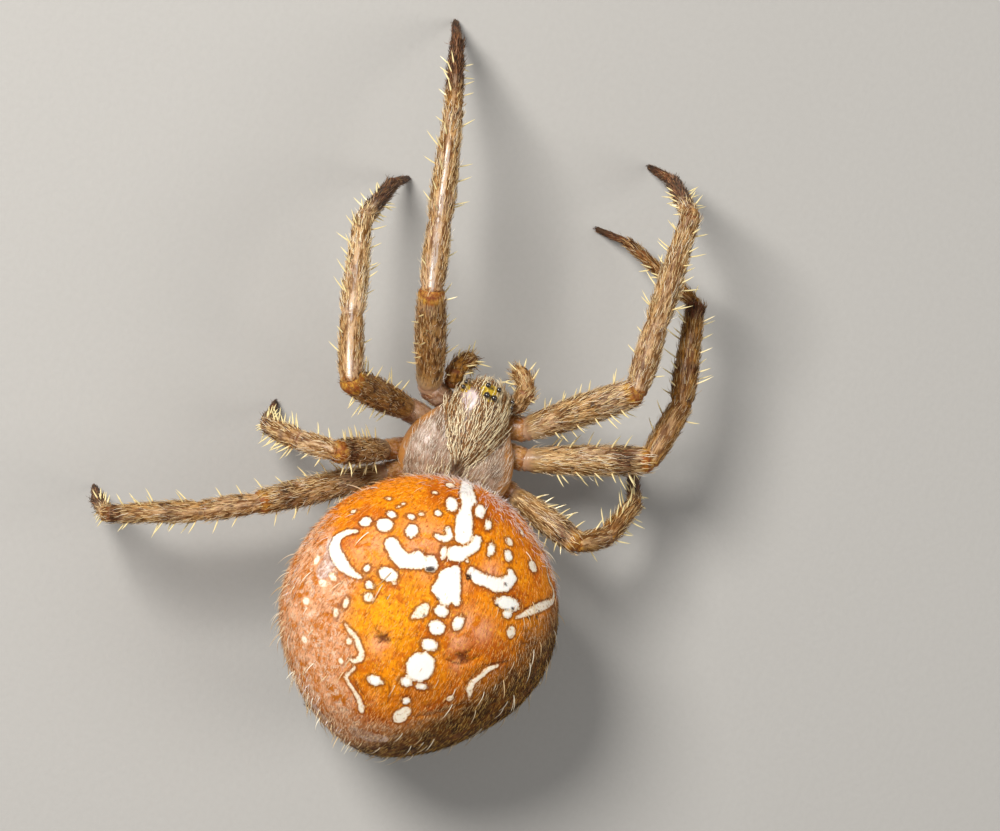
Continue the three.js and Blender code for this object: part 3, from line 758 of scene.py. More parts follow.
def add_head(skin):
    lap, turn = laps_and_turns(100, 170)
    along = -np.cos(lap) + 0 * turn
    side, up = np.cos(turn) + 0 * lap, np.sin(turn) + 0 * lap
    rounded = np.sqrt(np.maximum(0, 1 - along ** 6))
    y = HEAD["front"] + (HEAD["rear"] - HEAD["front"]) * (along + 1) / 2
    half = curve_through(HEAD["half_width"], y)
    x = side * half
    lift = np.where(up > 0, back_height(x, y, half), HEAD["depth"] * up)
    x = x * rounded
    shape = np.stack([x, y, margin_height(y) + lift * rounded], axis=-1)
    out = grid_normals(shape)
    # regions: the dome with the eyes in front, the grooved thorax behind
    above = smooth(up, -0.05, 0.25)
    over = np.abs(x) / curve_through(HEAD["dome_width"], y)
    fore = smooth(-y, 0.0, 1.2)
    dome = (1 - smooth(over - 0.2 * fore, 0.86, 1.04)) * (1 - smooth(y, 1.0, 1.7))
    to_eyes = np.full(x.shape, 9.0)
    for _, middle, _, radius in eye_places():
        to_eyes = np.minimum(to_eyes, np.linalg.norm(shape - middle, axis=-1) - radius)
    ocular = head_patch("between_eyes", x, y)
    beside = head_patch("side_eyes", np.abs(x), y)
    # the skin lies inside the outline by the coat's depth, but not at the eyes
    inset = 0.045 + 0.06 * dome
    inset = inset * (1 - np.maximum(ocular, beside) * 0.85) + 0.012 * mound(to_eyes, 0.05)
    from_pit = np.hypot(x - PIT[0], y - PIT[1])
    groove = 0.12 * mound(np.hypot((x - PIT[0]) / 0.5, y - PIT[1]), 0.42)
    bearing = np.arctan2(x, -(y - PIT[1]))
    rays = 0.03 * np.cos(bearing * 7) ** 8 * smooth(from_pit, 0.5, 1.0) * (1 - dome)
    rays *= smooth(half - np.abs(x), 0.1, 0.6)
    neck = 0.07 * mound(over - 1.02, 0.1) * (1 - smooth(y, 0.9, 1.6))
    relief = 0.02 * wander(shape, 0.5, 5) - (groove + rays + neck) * above
    points = shape + out * (relief - inset)[..., None]
    # the amber rim, then the lie of the hair: out from the pit, and forward on the thorax
    wide = 1 + 1.3 * smooth(-x, 0.2, 1.0)
    rim = 1 - smooth((half - np.abs(x)) * above, 0.10 * wide, 0.36 * wide)
    rim *= 1 - 0.8 * fore
    brow = smooth(up, -0.35, 0.05) * fore + above * (1 - fore)
    outward = np.stack([x - PIT[0], y - PIT[1], 0 * x], axis=-1)
    fan = unit(outward) + np.array([0, -0.55, 0])
    forward = np.stack([-0.15 * np.sign(x), -1 + 0 * x, 0 * x], axis=-1)
    lie = fan * dome[..., None] + (forward + 0.25 * unit(outward)) * (1 - dome)[..., None]
    behind = smooth(y, 1.2, 1.9) * smooth(1.5 - np.abs(x), 0.0, 0.6)
    clear = smooth(to_eyes, 0.0, 0.1) * (1 - 0.85 * ocular)
    # a bald, glossy patch, whose pale lilac colour is a painted highlight
    bald = head_patch("bald", x, y)
    # a painted sheen on the thorax's left, carried with the belly's frosted patches
    sheen = head_patch("sheen", x, y) * (1 - dome)
    clear = clear * (1 - 0.96 * head_patch("thinned", x, y))
    setae = np.maximum(dome, 0.5 * behind) * brow * clear
    cover = (1 - dome) * above * smooth(half - np.abs(x), 0.06, 0.3)
    skin.add(points, HEAD_HIDE, (0.01, 0.36, 0.32, 0.48), lie=lie, region=REGION["head"],
             setae=setae, cover=cover, ring=np.maximum(ocular, beside) * above,
             bare=dome, bald=bald * above, frost=sheen * above, shade=rim,
             reach=1 - 0.25 * smooth(-y, 1.5, 2.4), stand=0.25 * smooth(-y, 1.9, 2.6),
             band=mound(from_pit, 0.5) * above)


# ---- legs and palps -------------------------------------------------------------------

FOOT_HEIGHT = 0.06      # the tip of each foot above the floor
SEGMENTS = ("coxa", "femur", "patella", "tibia", "metatarsus", "tarsus")
LEG_PAIRS = {
    "leg1": dict(lengths=(5.3, 2.9, 4.9, 5.1, 1.9), inner=(1.05, -1.12, 3.62),
                 hip=(2.25, -1.4, 4.15), thick=1.0),
    "leg2": dict(lengths=(5.3, 2.75, 4.35, 4.65, 1.8), inner=(1.28, -.12, 3.6),
                 hip=(2.75, -.2, 3.95), thick=0.97),
    "leg3": dict(lengths=(3.65, 1.78, 2.18, 2.48, 1.3), inner=(1.28, .85, 3.55),
                 hip=(2.85, 1.3, 3.8), thick=0.84),
    "leg4": dict(lengths=(5.9, 2.45, 3.95, 4.1, 1.55), inner=(1.02, 1.75, 3.45),
                 hip=(2.45, 2.65, 3.6), thick=0.87),
}
# headings of the five lengths, rises of the first four, and how strongly it is banded
POSE = {
    "leg1_left": ((31, 14, 15, 7, 10), (39, -17, -10, -53), 0.45),
    "leg2_left": ((90, 19, 14, -28, -53), (51, -21, -21, -58), 0.5),
    "leg3_left": ((112, 97, 88, -30, -14), (47, -37, -56, -77), 0.9),
    "leg4_left": ((125, 121, 115, 20, 15), (16, 8, 1, -84), 0.75),
    "leg1_right": ((-44, 4, 7, 12, 72), (32, -14, 4, -73), 0.5),
    "leg2_right": ((-66, -9, 15, 65, 87), (14, -11, -3, -43), 0.95),
    "leg3_right": ((-105, -59, -24, -1, 10), (28, -35, -28, -65), 0.8),
    "leg4_right": ((-130, -176, -219, -254, -266), (-18, -10, -8, -3), 0.75),
}
# how brown each leg is, from pale tan 0 to dark 1: femur, patella, tibia, metatarsus
TONES = {
    "leg1_left": (0.55, 0.3, 0.35, 0.9), "leg2_left": (0.8, 0.45, 0.05, 0.35),
    "leg3_left": (0.5, 0.2, 0.45, 0.7), "leg4_left": (0.3, 0.4, 0.55, 0.7),
    "leg1_right": (0.3, 0.25, 0.3, 0.5), "leg2_right": (0.25, 0.85, 1.15, 1.15),
    "leg3_right": (0.45, 0.8, 0.9, 0.8), "leg4_right": (0.35, 0.4, 0.4, 0.6),
    "palp_left": (0.8, 0.9, 0.95, 1.0), "palp_right": (0.25, 0.2, 0.3, 0.5),
}
HIP_TONES = {"leg1_left": 0.0, "leg2_left": 0.2}     # from mauve to amber
HIP_SHIFTS = {"leg3_left": (0, 0.45, 0)}
# radii along each segment, from its near end to its far one
RADII = {
    "coxa": (.40, .50, .55, .54),
    "femur": (.52, .60, .64, .62, .54),
    "patella": (.47, .52, .52, .47),
    "tibia": (.48, .51, .48, .42, .38),
    "metatarsus": (.37, .33, .27),
    "tarsus": (.22, .21, .18, .12),
    "palp_femur": (.32, .40, .42), "palp_patella": (.40, .41, .38),
    "palp_tibia": (.37, .39, .36), "palp_tarsus": (.37, .38, .31, .18),
}
# dark bands along each segment: middle, half width, strength
BANDS = {
    "femur": [(.50, .08, .35), (.80, .13, .9)],
    "patella": [(.55, .16, .4), (.96, .05, .5)],
    "tibia": [(.08, .06, .5), (.36, .1, .8), (.66, .08, .5), (.93, .1, 1.1)],
    "metatarsus": [(.03, .06, .4), (.36, .1, .6)],
    "tarsus": [(.2, .14, .3), (.75, .35, 1.2)],
    "palp_femur": [(.7, .3, .5)], "palp_patella": [(.5, .3, .3)],
    "palp_tibia": [(.8, .3, .6)], "palp_tarsus": [(.8, .35, 1.2)],
}
# the bare shining line along the outer joints: width, strength, start and end of its fade
# its pale colour, laid into the leg's finish, is a painted highlight
SHINE = {
    "patella": (0.11, 1.0, 2.0, 3.0), "tibia": (0.065, 1.0, 0.6, 0.85),
    "metatarsus": (0.05, 0.8, 0.35, 0.6),
}
# it faces about the camera's way, so that its painted highlight shows
SHINE_WAY = unit([0.2, 0.05, 1.0])      # the way that it faces
SHINIEST = ("leg1_left", "leg2_left")
# parts with a thinner coat than the rest, and how much of it they keep
THINNED = {
    ("palp_left", "palp_femur"): 0.45, ("palp_left", "palp_patella"): 0.45,
    ("leg1_left", "femur"): 0.5, ("leg2_left", "femur"): 0.5,
}
SLIMMED = {("leg2_right", "metatarsus"): 0.8, ("leg2_right", "tarsus"): 0.8}
LEG_SIDES = 22


def leg_way(heading, rise):
    heading, rise = math.radians(heading), math.radians(rise)
    return np.array([math.sin(heading) * math.cos(rise),
                     -math.cos(heading) * math.cos(rise), math.sin(rise)])


def leg_joints(name):
    pair = LEG_PAIRS[name[:4]]
    sign = 1 if name.endswith("left") else -1
    headings, rises, _ = POSE[name]
    mirror = np.array([sign, 1, 1])
    joints = [pair["inner"] * mirror,
              pair["hip"] * mirror + np.array(HIP_SHIFTS.get(name, (0, 0, 0)))]
    for i, length in enumerate(pair["lengths"]):
        if i < len(rises):
            rise = rises[i]
        else:
            rise = math.degrees(math.asin((FOOT_HEIGHT - joints[-1][2]) / length))
        joints.append(joints[-1] + leg_way(headings[i], rise) * length)
    return joints


def carried_along(vector, old, new):
    """Turns a vector as the shortest turn from one way to another does."""
    axis = np.cross(old, new)
    c = old.dot(new)
    return vector * c + np.cross(axis, vector) + axis * axis.dot(vector) / (1 + c)


def rod_grid(start, way, dorsal, places, radii, sides=LEG_SIDES):
    """Rings about a straight rod: places along it and a radius at each."""
    across = np.cross(way, dorsal)
    turn = np.linspace(0, 2 * math.pi, sides, endpoint=False)
    round_ = np.cos(turn)[:, None] * dorsal + np.sin(turn)[:, None] * across
    axis = start + places[:, None] * way
    return axis[:, None, :] + radii[:, None, None] * round_[None], turn


def segment_rows(length, radii, tip=False):
    """Places and radii of a leg segment with rounded ends that nest in its neighbours."""
    first, last = radii[0], radii[-1]
    begin = -0.45 * first
    end = length + (0.02 if tip else 0.5 * last)
    count = max(14, int((end - begin) / 0.12))
    u = np.linspace(0, math.pi, count)
    even = np.linspace(0, 1, count)
    mixed = 0.35 * (1 - np.cos(u)) / 2 + 0.65 * even
    places = begin + (end - begin) * mixed
    radius = even_profile(radii, np.clip(places / length, 0, 1))
    near = np.clip((places - begin) / (0.62 * first), 0, 1)
    far = np.clip((end - places) / ((1.2 if tip else 0.85) * last), 0, 1)
    closing = np.sqrt(1 - (1 - near) ** 2) * np.sqrt(1 - (1 - far) ** 2)
    lip = 0.0 if tip else 0.022 * mound(places - length + 0.1, 0.12)
    base = 1 - 0.1 * mound(places - 0.16, 0.1)
    return places, (radius * base + lip) * closing


def leg_frames(joints):
    """The way and the upper side of each segment."""
    ways = [unit(b - a) for a, b in zip(joints, joints[1:])]
    upper = np.array([0, 0, 1.0])
    upper = unit(upper - upper.dot(ways[0]) * ways[0])
    uppers = [upper]
    for old, new in zip(ways, ways[1:]):
        turned = carried_along(uppers[-1], old, new)
        uppers.append(unit(turned - turned.dot(new) * new))
    return ways, uppers


def add_limb(skin, name, joints, parts, thick, dark, region, patch, order):
    """A limb's segments, each a closed shell with its tone, bands, rings and coat."""
    is_leg = name.startswith("leg")
    ways, uppers = leg_frames(joints)
    tones = (HIP_TONES.get(name, 0.5), *TONES[name]) if is_leg else TONES[name]
    run = order * 40.0
    left, low, right, high = patch
    step = (right - left) / len(parts)
    for i, part in enumerate(parts):
        length = np.linalg.norm(joints[i + 1] - joints[i])
        slim = SLIMMED.get((name, part), 1.0)
        radii = np.array(RADII[part]) * thick * slim
        places, radius = segment_rows(length, radii, tip=i == len(parts) - 1)
        if part == "coxa":
            to_end = length - places
            folds = mound(to_end - 0.42, 0.06) + 0.6 * mound(to_end - 0.2, 0.05)
            radius = radius * (1 - 0.10 * folds)
        grid, turn = rod_grid(joints[i], ways[i], uppers[i], places, radius)
        # t runs from 0 to 1 along the segment, and top from 1 above to -1 below
        t = np.clip(places / length, -0.1, 1.1)[:, None] + 0 * turn[None]
        limb = np.stack([run + places[:, None] + 0 * turn[None],
                         radius[:, None] * np.cos(turn)[None],
                         radius[:, None] * np.sin(turn)[None]], axis=-1)
        band = np.zeros_like(t)
        for middle, half, strength in BANDS.get(part, []):
            band += strength * mound(t - middle, half)
        top = np.cos(turn)[None] + 0 * t
        band = band * dark * (0.75 + 0.25 * top)
        if part == "tarsus":
            band = np.maximum(band, 0.7 + 0.6 * smooth(t, 0.2, 0.8))
        if part == "metatarsus":
            band = np.maximum(band, (0.6 if slim < 1 else 0.95) * smooth(t, 0.0, 0.45))
        ring = 0.0 * t
        seam = mound(places - length - 0.02, 0.07)[:, None] + 0 * t
        if part in ("femur", "coxa"):
            ring = smooth(t, 0.88, 0.99) * (1.0 if part == "femur" else 0.6)
        if part == "patella":
            ring = 0.6 * (1 - smooth(t, -0.02, 0.07)) + 0.55 * smooth(t, 0.94, 1.0)
        inner = smooth(places, 0.1, 0.3)[:, None] * smooth(length - places, -0.12, 0.0)[:, None]
        cover = inner * (1 - 0.7 * smooth(ring, 0.3, 0.9))
        if part == "coxa":
            cover = cover * (0.2 + 0.8 * smooth(-top, -0.3, 0.4))
        # the bare line: a thinner coat and real gloss, with a painted highlight in the leg's
        # colour
        gloss = 0.0 * t
        if part in SHINE:
            width, strength, fades, ends = SHINE[part]
            across = np.cross(ways[i], uppers[i])
            facing = math.atan2(SHINE_WAY.dot(across), SHINE_WAY.dot(uppers[i]))
            off_line = np.cos(turn - facing)[None] + 0 * t - 1
            gloss = strength * mound(off_line, width) * (1 - smooth(t, fades, ends))
            gloss = gloss * (1.0 if name in SHINIEST else 0.7)
        cover = cover * (1 - 0.95 * gloss) * THINNED.get((name, part), 1.0)
        if part == "femur":
            cover = cover * (1 - 0.8 * (1 - smooth(t + 0.12 * top, 0.12, 0.36)))
        relief = 0.012 * wander(limb * [0.6, 1.4, 1.4], 0.7, 20 + order)
        grid = grid + grid_normals(grid) * relief[..., None]
        grid[..., 2] = np.maximum(grid[..., 2], 0.002)
        hide = JOINT_HIDE if part == "coxa" else LEG_HIDE
        skin.add(grid, hide, (left + step * i + 0.002, low, left + step * (i + 1) - 0.002, high),
                 lie=ways[i], limb=limb, band=np.clip(band, 0, 1.3), ring=ring, cover=cover,
                 region=region, bare=gloss, seam=seam,
                 tone=tones[i] if i < len(tones) else 0.8,
                 reach={"tarsus": 0.55, "coxa": 0.6, "patella": 0.8}.get(part, 1.0),
                 shade=1.0 * (part == "coxa") + (part == "femur") * (1 - smooth(t, 0, 0.12)),
                 setae=1.0 * (part == "femur") * (1 - smooth(t + 0.1 * top, 0.1, 0.34)),
                 stand=0.12)
        run += length


PALPS = {
    "left": [(1.3, -2.02, 3.75), (1.44, -2.16, 4.2), (1.6, -2.55, 4.42), (1.3, -3.02, 4.25),
             (.84, -3.22, 3.55)],
    "right": [(-1.36, -2.08, 3.85), (-1.48, -2.28, 4.45), (-1.52, -2.88, 4.75),
              (-1.22, -3.35, 4.5), (-.86, -3.55, 3.85)],
}
PALP_PARTS = ("palp_femur", "palp_patella", "palp_tibia", "palp_tarsus")
PALP_DARK = {"left": 0.9, "right": 0.5}


def limbs():
    """Of each limb: name, joints, parts, thickness, darkness, region and strip of unwrap."""
    for order, (name, (_, _, dark)) in enumerate(POSE.items()):
        pair, side = name.split("_")
        region = side + ("_front" if pair in ("leg1", "leg2") else "_rear")
        strip = (0.01, 0.02 + 0.04 * order, 0.99, 0.055 + 0.04 * order)
        yield (name, leg_joints(name), SEGMENTS, LEG_PAIRS[pair]["thick"], dark,
               REGION[region], strip)
    for order, (side, joints) in enumerate(PALPS.items()):
        strip = (0.34, 0.36 + 0.06 * order, 0.74, 0.41 + 0.06 * order)
        yield ("palp_" + side, [np.array(j) for j in joints], PALP_PARTS, 1.0,
               PALP_DARK[side], REGION["palps"], strip)


def add_limbs(skin):
    for order, limb in enumerate(limbs()):
        # the palps' grain starts one place further on
        add_limb(skin, *limb, order + (limb[2] is PALP_PARTS))


# ---- the waist and the spinnerets --------------------------------------------------------

SPINNERETS = dict(along=3.95, height=2.0, ring=0.36, radius=0.39, length=1.7, splay=12, pairs=3)


def bent_rod(points, radii, sides, rows=24):
    """Rings along a smooth curve through points, closed at both ends."""
    points = np.array(points, float)
    t = (1 - np.cos(np.linspace(0, math.pi, rows))) / 2
    knots = np.linspace(0, 1, len(points))
    axis = np.stack([curve_through(np.column_stack([knots, points[:, k]]), t)
                     for k in range(3)], axis=-1)
    ways = unit(np.gradient(axis, axis=0))
    side = unit(np.cross(ways[0], [0.3, 0.1, 1.0]))
    turn = np.linspace(0, 2 * math.pi, sides, endpoint=False)
    radius = even_profile(radii, t) * np.sqrt(np.clip(1 - (2 * t - 1) ** 14, 0, 1))
    rings = []
    for k in range(rows):
        if k:
            side = carried_along(side, ways[k - 1], ways[k])
        side = unit(side - side.dot(ways[k]) * ways[k])
        other = np.cross(ways[k], side)
        ring = np.cos(turn)[:, None] * side + np.sin(turn)[:, None] * other
        rings.append(axis[k] + radius[k] * ring)
    return np.array(rings), t


def add_flank(skin):
    """Soft hide inside the ring of hips, from the breast plate up to the back plate."""
    lap, turn = laps_and_turns(60, 72)
    along = -np.cos(lap) + 0 * turn
    across, up = np.cos(turn) + 0 * lap, np.sin(turn) + 0 * lap
    rounded = np.maximum(0, 1 - along ** 6) ** 0.5
    y = 0.4 + 2.15 * along
    half = curve_through(HEAD["half_width"], y) * 0.72
    x = np.sign(across) * np.abs(across) ** 0.7 * half * rounded
    z = 4.15 + 0.5 * np.sign(up) * np.abs(up) ** 0.5 * rounded
    grid = np.stack([x, y, z], axis=-1)
    grid = grid + grid_normals(grid) * (0.03 * wander(grid, 0.3, 12))[..., None]
    skin.add(grid, JOINT_HIDE, (0.88, 0.36, 0.98, 0.47), lie=(0, 1, 0), tone=0.3, shade=0.4)


def add_waist(skin):
    grid, t = bent_rod([(0, 2.2, 3.8), (-.15, 2.9, 3.95), (-.5, 4.6, 4.2)],
                       (.3, .27, .26, .3), 24)
    skin.add(grid, JOINT_HIDE, (0.76, 0.36, 0.86, 0.4), lie=(0, 1, 0), shade=0.6)
    s = SPINNERETS
    for i in range(s["pairs"] * 2):
        turn = (i + 0.5) * math.pi / s["pairs"] + math.radians(BELLY["yaw"])
        splay = math.radians(s["splay"])
        foot = belly_frame(np.array(0.0), np.array(s["along"]), s["height"])
        out = np.array([-math.sin(turn), math.cos(turn), 0])
        top = foot + out * s["ring"]
        way = unit(out * math.sin(splay) + np.array([0, 0, -math.cos(splay)]))
        grid, t = bent_rod([top, top + way * s["length"] * 0.5, top + way * s["length"]],
                           (s["radius"], s["radius"] * 0.95, s["radius"] * 0.62), 20, 26)
        patch = (0.76 + 0.03 * i, 0.42, 0.785 + 0.03 * i, 0.47)
        rings = smooth(np.abs(t - 0.6), 0.0, 0.05)[:, None]
        skin.add(grid, LEG_HIDE, patch, lie=way, limb=grid, band=0.8 * rings,
                 cover=0.5 * smooth(t, 0.3, 0.5)[:, None], region=REGION["belly_under"])


skin = Skin()
add_belly(skin)
add_head(skin)
add_limbs(skin)
add_waist(skin)
add_flank(skin)
skin_mesh = skin.mesh("spider_skin")

# ---- finishes of the skin -------------------------------------------------------------


def belly_material():
    n = Finish("belly_hide")
    here = n.place()
    at = n.carried("limb", 1)           # place on the unrolled back
    side = n.carried("shade")
    combed = n.carried("setae")         # where the short coat lies in furrows
    slow = n.noise(here, 0.5, 3.0, 0.6)
    mottle = n.noise(here, 1.7, 4.0, 0.66, 0.5)
    drift = n.noise(here, 2.6, 3.0, 0.55)
    fine = n.noise(here, 7.0, 3.0, 0.62)
    rag = n.noise(here, 12.0, 2.0, 0.6)
    grain = n.noise(at.vector("MULTIPLY", (9.0, 3.2, 9.0)), 1.0, 3.0, 0.7, 1.1)
    flecks = drift * fine
    edge = (drift - 0.5) * 0.14 + (fine - 0.5) * 0.16 + (rag - 0.5) * 0.13
    white = n.carried("white") + edge
    pale = n.carried("pale") + edge * 0.9
    dark = n.carried("dark") + edge * 0.8
    field = n.carried("field") + (mottle - 0.5) * 2.2 + (fine - 0.5) * 0.5
    # the ground within the field
    # pink patches, partly painted sheen
    blush = n.carried("blush") * mottle.between(0.34, 0.54)
    orange = n.over(
        (0.80, 0.245, 0.002),
        ((0.56, 0.125, 0.002), slow.between(0.44, 0.60)),
        # yellower where the tone is high: partly a painted pool of light
        ((0.90, 0.37, 0.002), n.carried("tone") * drift.between(0.32, 0.6)),
        ((0.84, 0.40, 0.22), blush * 0.75),
        ((0.40, 0.075, 0.002), fine.between(0.54, 0.70) * 0.7),
        ((0.96, 0.50, 0.03), fine.between(0.44, 0.33) * 0.5))
    # the flanks: pinkish and rusty on the left, browner on the right and behind, partly painted
    # shade
    flank = n.over(
        (0.54, 0.155, 0.008),
        ((0.76, 0.37, 0.19), mottle.between(0.38, 0.60)),
        ((0.92, 0.66, 0.48), flecks.between(0.24, 0.36) * 0.8),
        ((0.26, 0.075, 0.015), fine.between(0.54, 0.66) * 0.6))
    umber_and_shade = n.over(
        (0.24, 0.070, 0.004),
        ((0.68, 0.235, 0.010), mottle.between(0.38, 0.60)),
        ((0.66, 0.38, 0.18), flecks.between(0.28, 0.36) * 0.4))
    # darker behind and darkest low down, partly painted shade; with lilac patches
    tail = (n.carried("rear") + (mottle - 0.5) * 0.5).between(0.12, 0.9)
    earth = n.mix((0.026, 0.008, 0.001), (0.17, 0.050, 0.005), mottle.between(0.38, 0.64))
    # the lower sides darker: the darker underside, and painted shade where the sides turn from
    # the light
    low = here.part(2).between(6.2, 2.8) * (0.45 + mottle * 0.9)
    underside_and_shade = n.mix((0.022, 0.008, 0.002), (0.11, 0.040, 0.010), drift)
    frost = (n.carried("frost") * (0.35 + mottle * 1.3)).between(0.2, 0.7)
    lilac = n.mix((0.50, 0.33, 0.27), (0.86, 0.74, 0.70), flecks.between(0.18, 0.32))
    colour = n.over(
        umber_and_shade,
        # the left flank paler than the right, whose darker brown is partly painted shade
        (flank, at.part(0).between(-3.0, 2.0)),
        (orange, field.between(-0.55, 0.35)),
        (earth, tail * 0.92), (underside_and_shade, low), (lilac, frost * 0.75))
    # grain of the short coat, darker where it is combed
    colour = n.mix(colour, colour.vector("MULTIPLY", (0.66, 0.56, 0.44)), combed * (1 - tail))
    coated = combed.most(side)
    # painted shade in the furrows between the strands, and a painted highlight on the strands
    painted_furrow_shade = grain.between(0.53, 0.63) * (0.45 + 0.45 * coated)
    colour = n.mix(colour, colour.vector("MULTIPLY", (0.34, 0.26, 0.2)), painted_furrow_shade)
    painted_strand_highlight = colour.vector("SCALE", 1.35).vector("ADD", (0.12, 0.065, 0.004))
    # dips and creases darkened, partly painted shade, then dark rims and the marks themselves
    halo = white.most(pale - 0.01).between(-0.17, -0.04) * (0.55 + drift * 0.6)
    pit = n.carried("pit") + (fine - 0.5) * 0.3
    cream = n.over(
        (0.82, 0.58, 0.34),
        ((0.95, 0.86, 0.70), pale.between(-0.01, 0.07)),
        ((0.50, 0.25, 0.08), fine.between(0.54, 0.66) * 0.6))
    chalk = n.over(
        (0.80, 0.66, 0.48),
        ((0.92, 0.90, 0.85), white.between(0.01, 0.10)),
        ((0.60, 0.36, 0.14), n.cells(here, 2.6).between(0.12, 0.07) * 0.6))
    colour = n.over(
        colour,
        # painted highlight on the strands of the grain
        (painted_strand_highlight, grain.between(0.46, 0.34) * (0.25 + 0.5 * coated)),
        ((0.10, 0.022, 0.004), pit.between(0.25, 0.95) * 0.9),
        ((0.14, 0.035, 0.008), halo * field.between(-1.2, 0.2) * 0.85),
        (cream, pale.between(-0.03, 0.03) * 0.92),
        (chalk, white.between(-0.02, 0.015)),
        ((0.035, 0.014, 0.008), dark.between(-0.06, 0.03) * 0.95))
    height = drift * 0.25 + fine * 0.3 + grain * 0.6 + white.between(-0.05, 0.06) * 0.5
    return n.end(colour, 0.44 + fine * 0.18 + side * 0.1, height, 0.035, shine=0.12, flesh=True)


def head_material():
    n = Finish("head_hide")
    here = n.place()
    drift = n.noise(here, 1.3, 3.0, 0.6)
    fine = n.noise(here, 8.0, 3.0, 0.62)
    grain = n.noise(here, 24.0, 2.0, 0.5)
    rim = n.carried("shade") + (drift - 0.5) * 0.5
    frost, bald = n.carried("frost"), n.carried("bald")
    tan = n.mix((0.060, 0.022, 0.004), (0.30, 0.14, 0.035), fine.between(0.4, 0.62))
    amber = n.mix((0.36, 0.135, 0.022), (0.58, 0.26, 0.055), fine)
    lilac = n.mix((0.48, 0.36, 0.34), (0.82, 0.73, 0.74), fine)
    eye_field = n.carried("ring") + (fine - 0.5) * 0.5
    yellow = n.mix((0.22, 0.13, 0.008), (0.66, 0.44, 0.02), fine.between(0.38, 0.58))
    colour = n.over(
        (0.19, 0.105, 0.055),
        ((0.36, 0.225, 0.14), drift.between(0.38, 0.60)),
        # painted sheen on the thorax
        ((0.66, 0.52, 0.46), frost * drift.between(0.3, 0.6) * 0.7),
        ((0.52, 0.35, 0.27), fine.between(0.50, 0.66) * 0.5),
        (tan, n.carried("bare") * 0.92),            # the dome
        (amber, rim.between(0.25, 0.75) * 0.9),
        # painted highlight: pale lilac on the bald patch
        (lilac, bald.between(0.15, 0.7)),
        ((0.07, 0.03, 0.014), n.carried("band") * 0.75),
        (yellow, eye_field.between(0.30, 0.46)))
    height = fine * 0.5 + grain * 0.35 + drift * 0.4
    wet = (bald * 0.3 + frost * 0.12 + 0.12).least(1.0)
    return n.end(colour, 0.36 + fine * 0.16, height, 0.02, wet=wet, flesh=True)


def leg_material():
    n = Finish("leg_hide")
    limb = n.carried("limb", 1)         # place along and across the limb, mm
    tone = n.carried("tone")
    streak = n.noise(limb.vector("MULTIPLY", (1.0, 4.5, 4.5)), 1.0, 4.0, 0.62, 0.3)
    fibres = n.noise(limb.vector("MULTIPLY", (2.2, 9.0, 9.0)), 1.0, 3.0, 0.7, 0.6)
    fine = n.noise(limb, 9.0, 3.0, 0.6)
    drift = n.noise(limb, 0.8, 3.0, 0.6)
    tan = n.over(
        (0.20, 0.092, 0.026),
        ((0.50, 0.30, 0.13), streak.between(0.40, 0.58)),
        ((0.66, 0.46, 0.32), drift.between(0.50, 0.62) * 0.6))
    brown = n.mix((0.12, 0.038, 0.003), (0.36, 0.155, 0.014), streak.between(0.38, 0.60))
    band = n.carried("band")
    ragged = band + (streak - 0.5) * 0.9 + (drift - 0.5) * 0.7
    dusk = n.over(
        (0.13, 0.038, 0.012),
        ((0.022, 0.009, 0.005), fibres.between(0.42, 0.58)),
        ((0.012, 0.006, 0.004), band.between(1.0, 1.3) * 0.9))
    ring = n.carried("ring") + (fine - 0.5) * 0.6
    orange = n.over(
        (0.36, 0.105, 0.006),
        ((0.55, 0.29, 0.03), streak.between(0.42, 0.58)),
        ((0.16, 0.036, 0.006), fibres.between(0.50, 0.62) * 0.8))
    clear = n.carried("setae")          # the femur's clear, coatless foot
    olive = n.mix((0.30, 0.185, 0.055), (0.52, 0.38, 0.20), drift.between(0.4, 0.6))
    base = n.carried("shade")
    rose = n.mix((0.36, 0.17, 0.07), (0.60, 0.40, 0.30), drift)
    # the bare shining line, which also carries a painted highlight
    gloss_and_painted_highlight = n.carried("bare")          # the bare shining line
    beside = gloss_and_painted_highlight.between(0.15, 0.35) * gloss_and_painted_highlight.between(0.75, 0.5)
    colour = n.over(
        tan,
        (brown, tone + (drift - 0.5) * 0.5),
        ((0.070, 0.024, 0.007), fibres.between(0.53, 0.64) * 0.85),
        ((0.84, 0.64, 0.40), fibres.between(0.45, 0.35) * (0.5 - tone * 0.35)),
        (dusk, ragged.between(0.30, 0.80) * 0.92),
        ((0.045, 0.016, 0.008), n.cells(limb, 1.3).between(0.20, 0.10) * 0.85),
        (orange, ring.between(0.3, 0.8) * 0.8),
        (olive, clear * (1 - tone * 0.7) * 0.8),
        (rose, base * 0.8),
        ((0.16, 0.034, 0.008), n.carried("seam") * (0.6 + fine * 0.5)),
        # painted highlight: a paler colour along the bare line
        ((0.60, 0.42, 0.27), gloss_and_painted_highlight * streak.between(0.44, 0.56) * 0.5),
        ((0.84, 0.74, 0.66), gloss_and_painted_highlight.between(0.80, 0.99) * fibres.between(0.42, 0.58) * 0.4),
        ((0.15, 0.055, 0.012), beside * fibres.between(0.45, 0.54) * 0.7))
    height = streak * 0.4 + fibres * 0.5 + fine * 0.25
    wet = gloss_and_painted_highlight.between(0.5, 1.0) * (0.3 + streak * 0.6) + (base + clear * 0.6) * 0.3 + 0.04
    return n.end(colour, 0.52 + fine * 0.14 - gloss_and_painted_highlight * 0.28, height, 0.028, shine=0.22,
                 wet=wet, flesh=True)


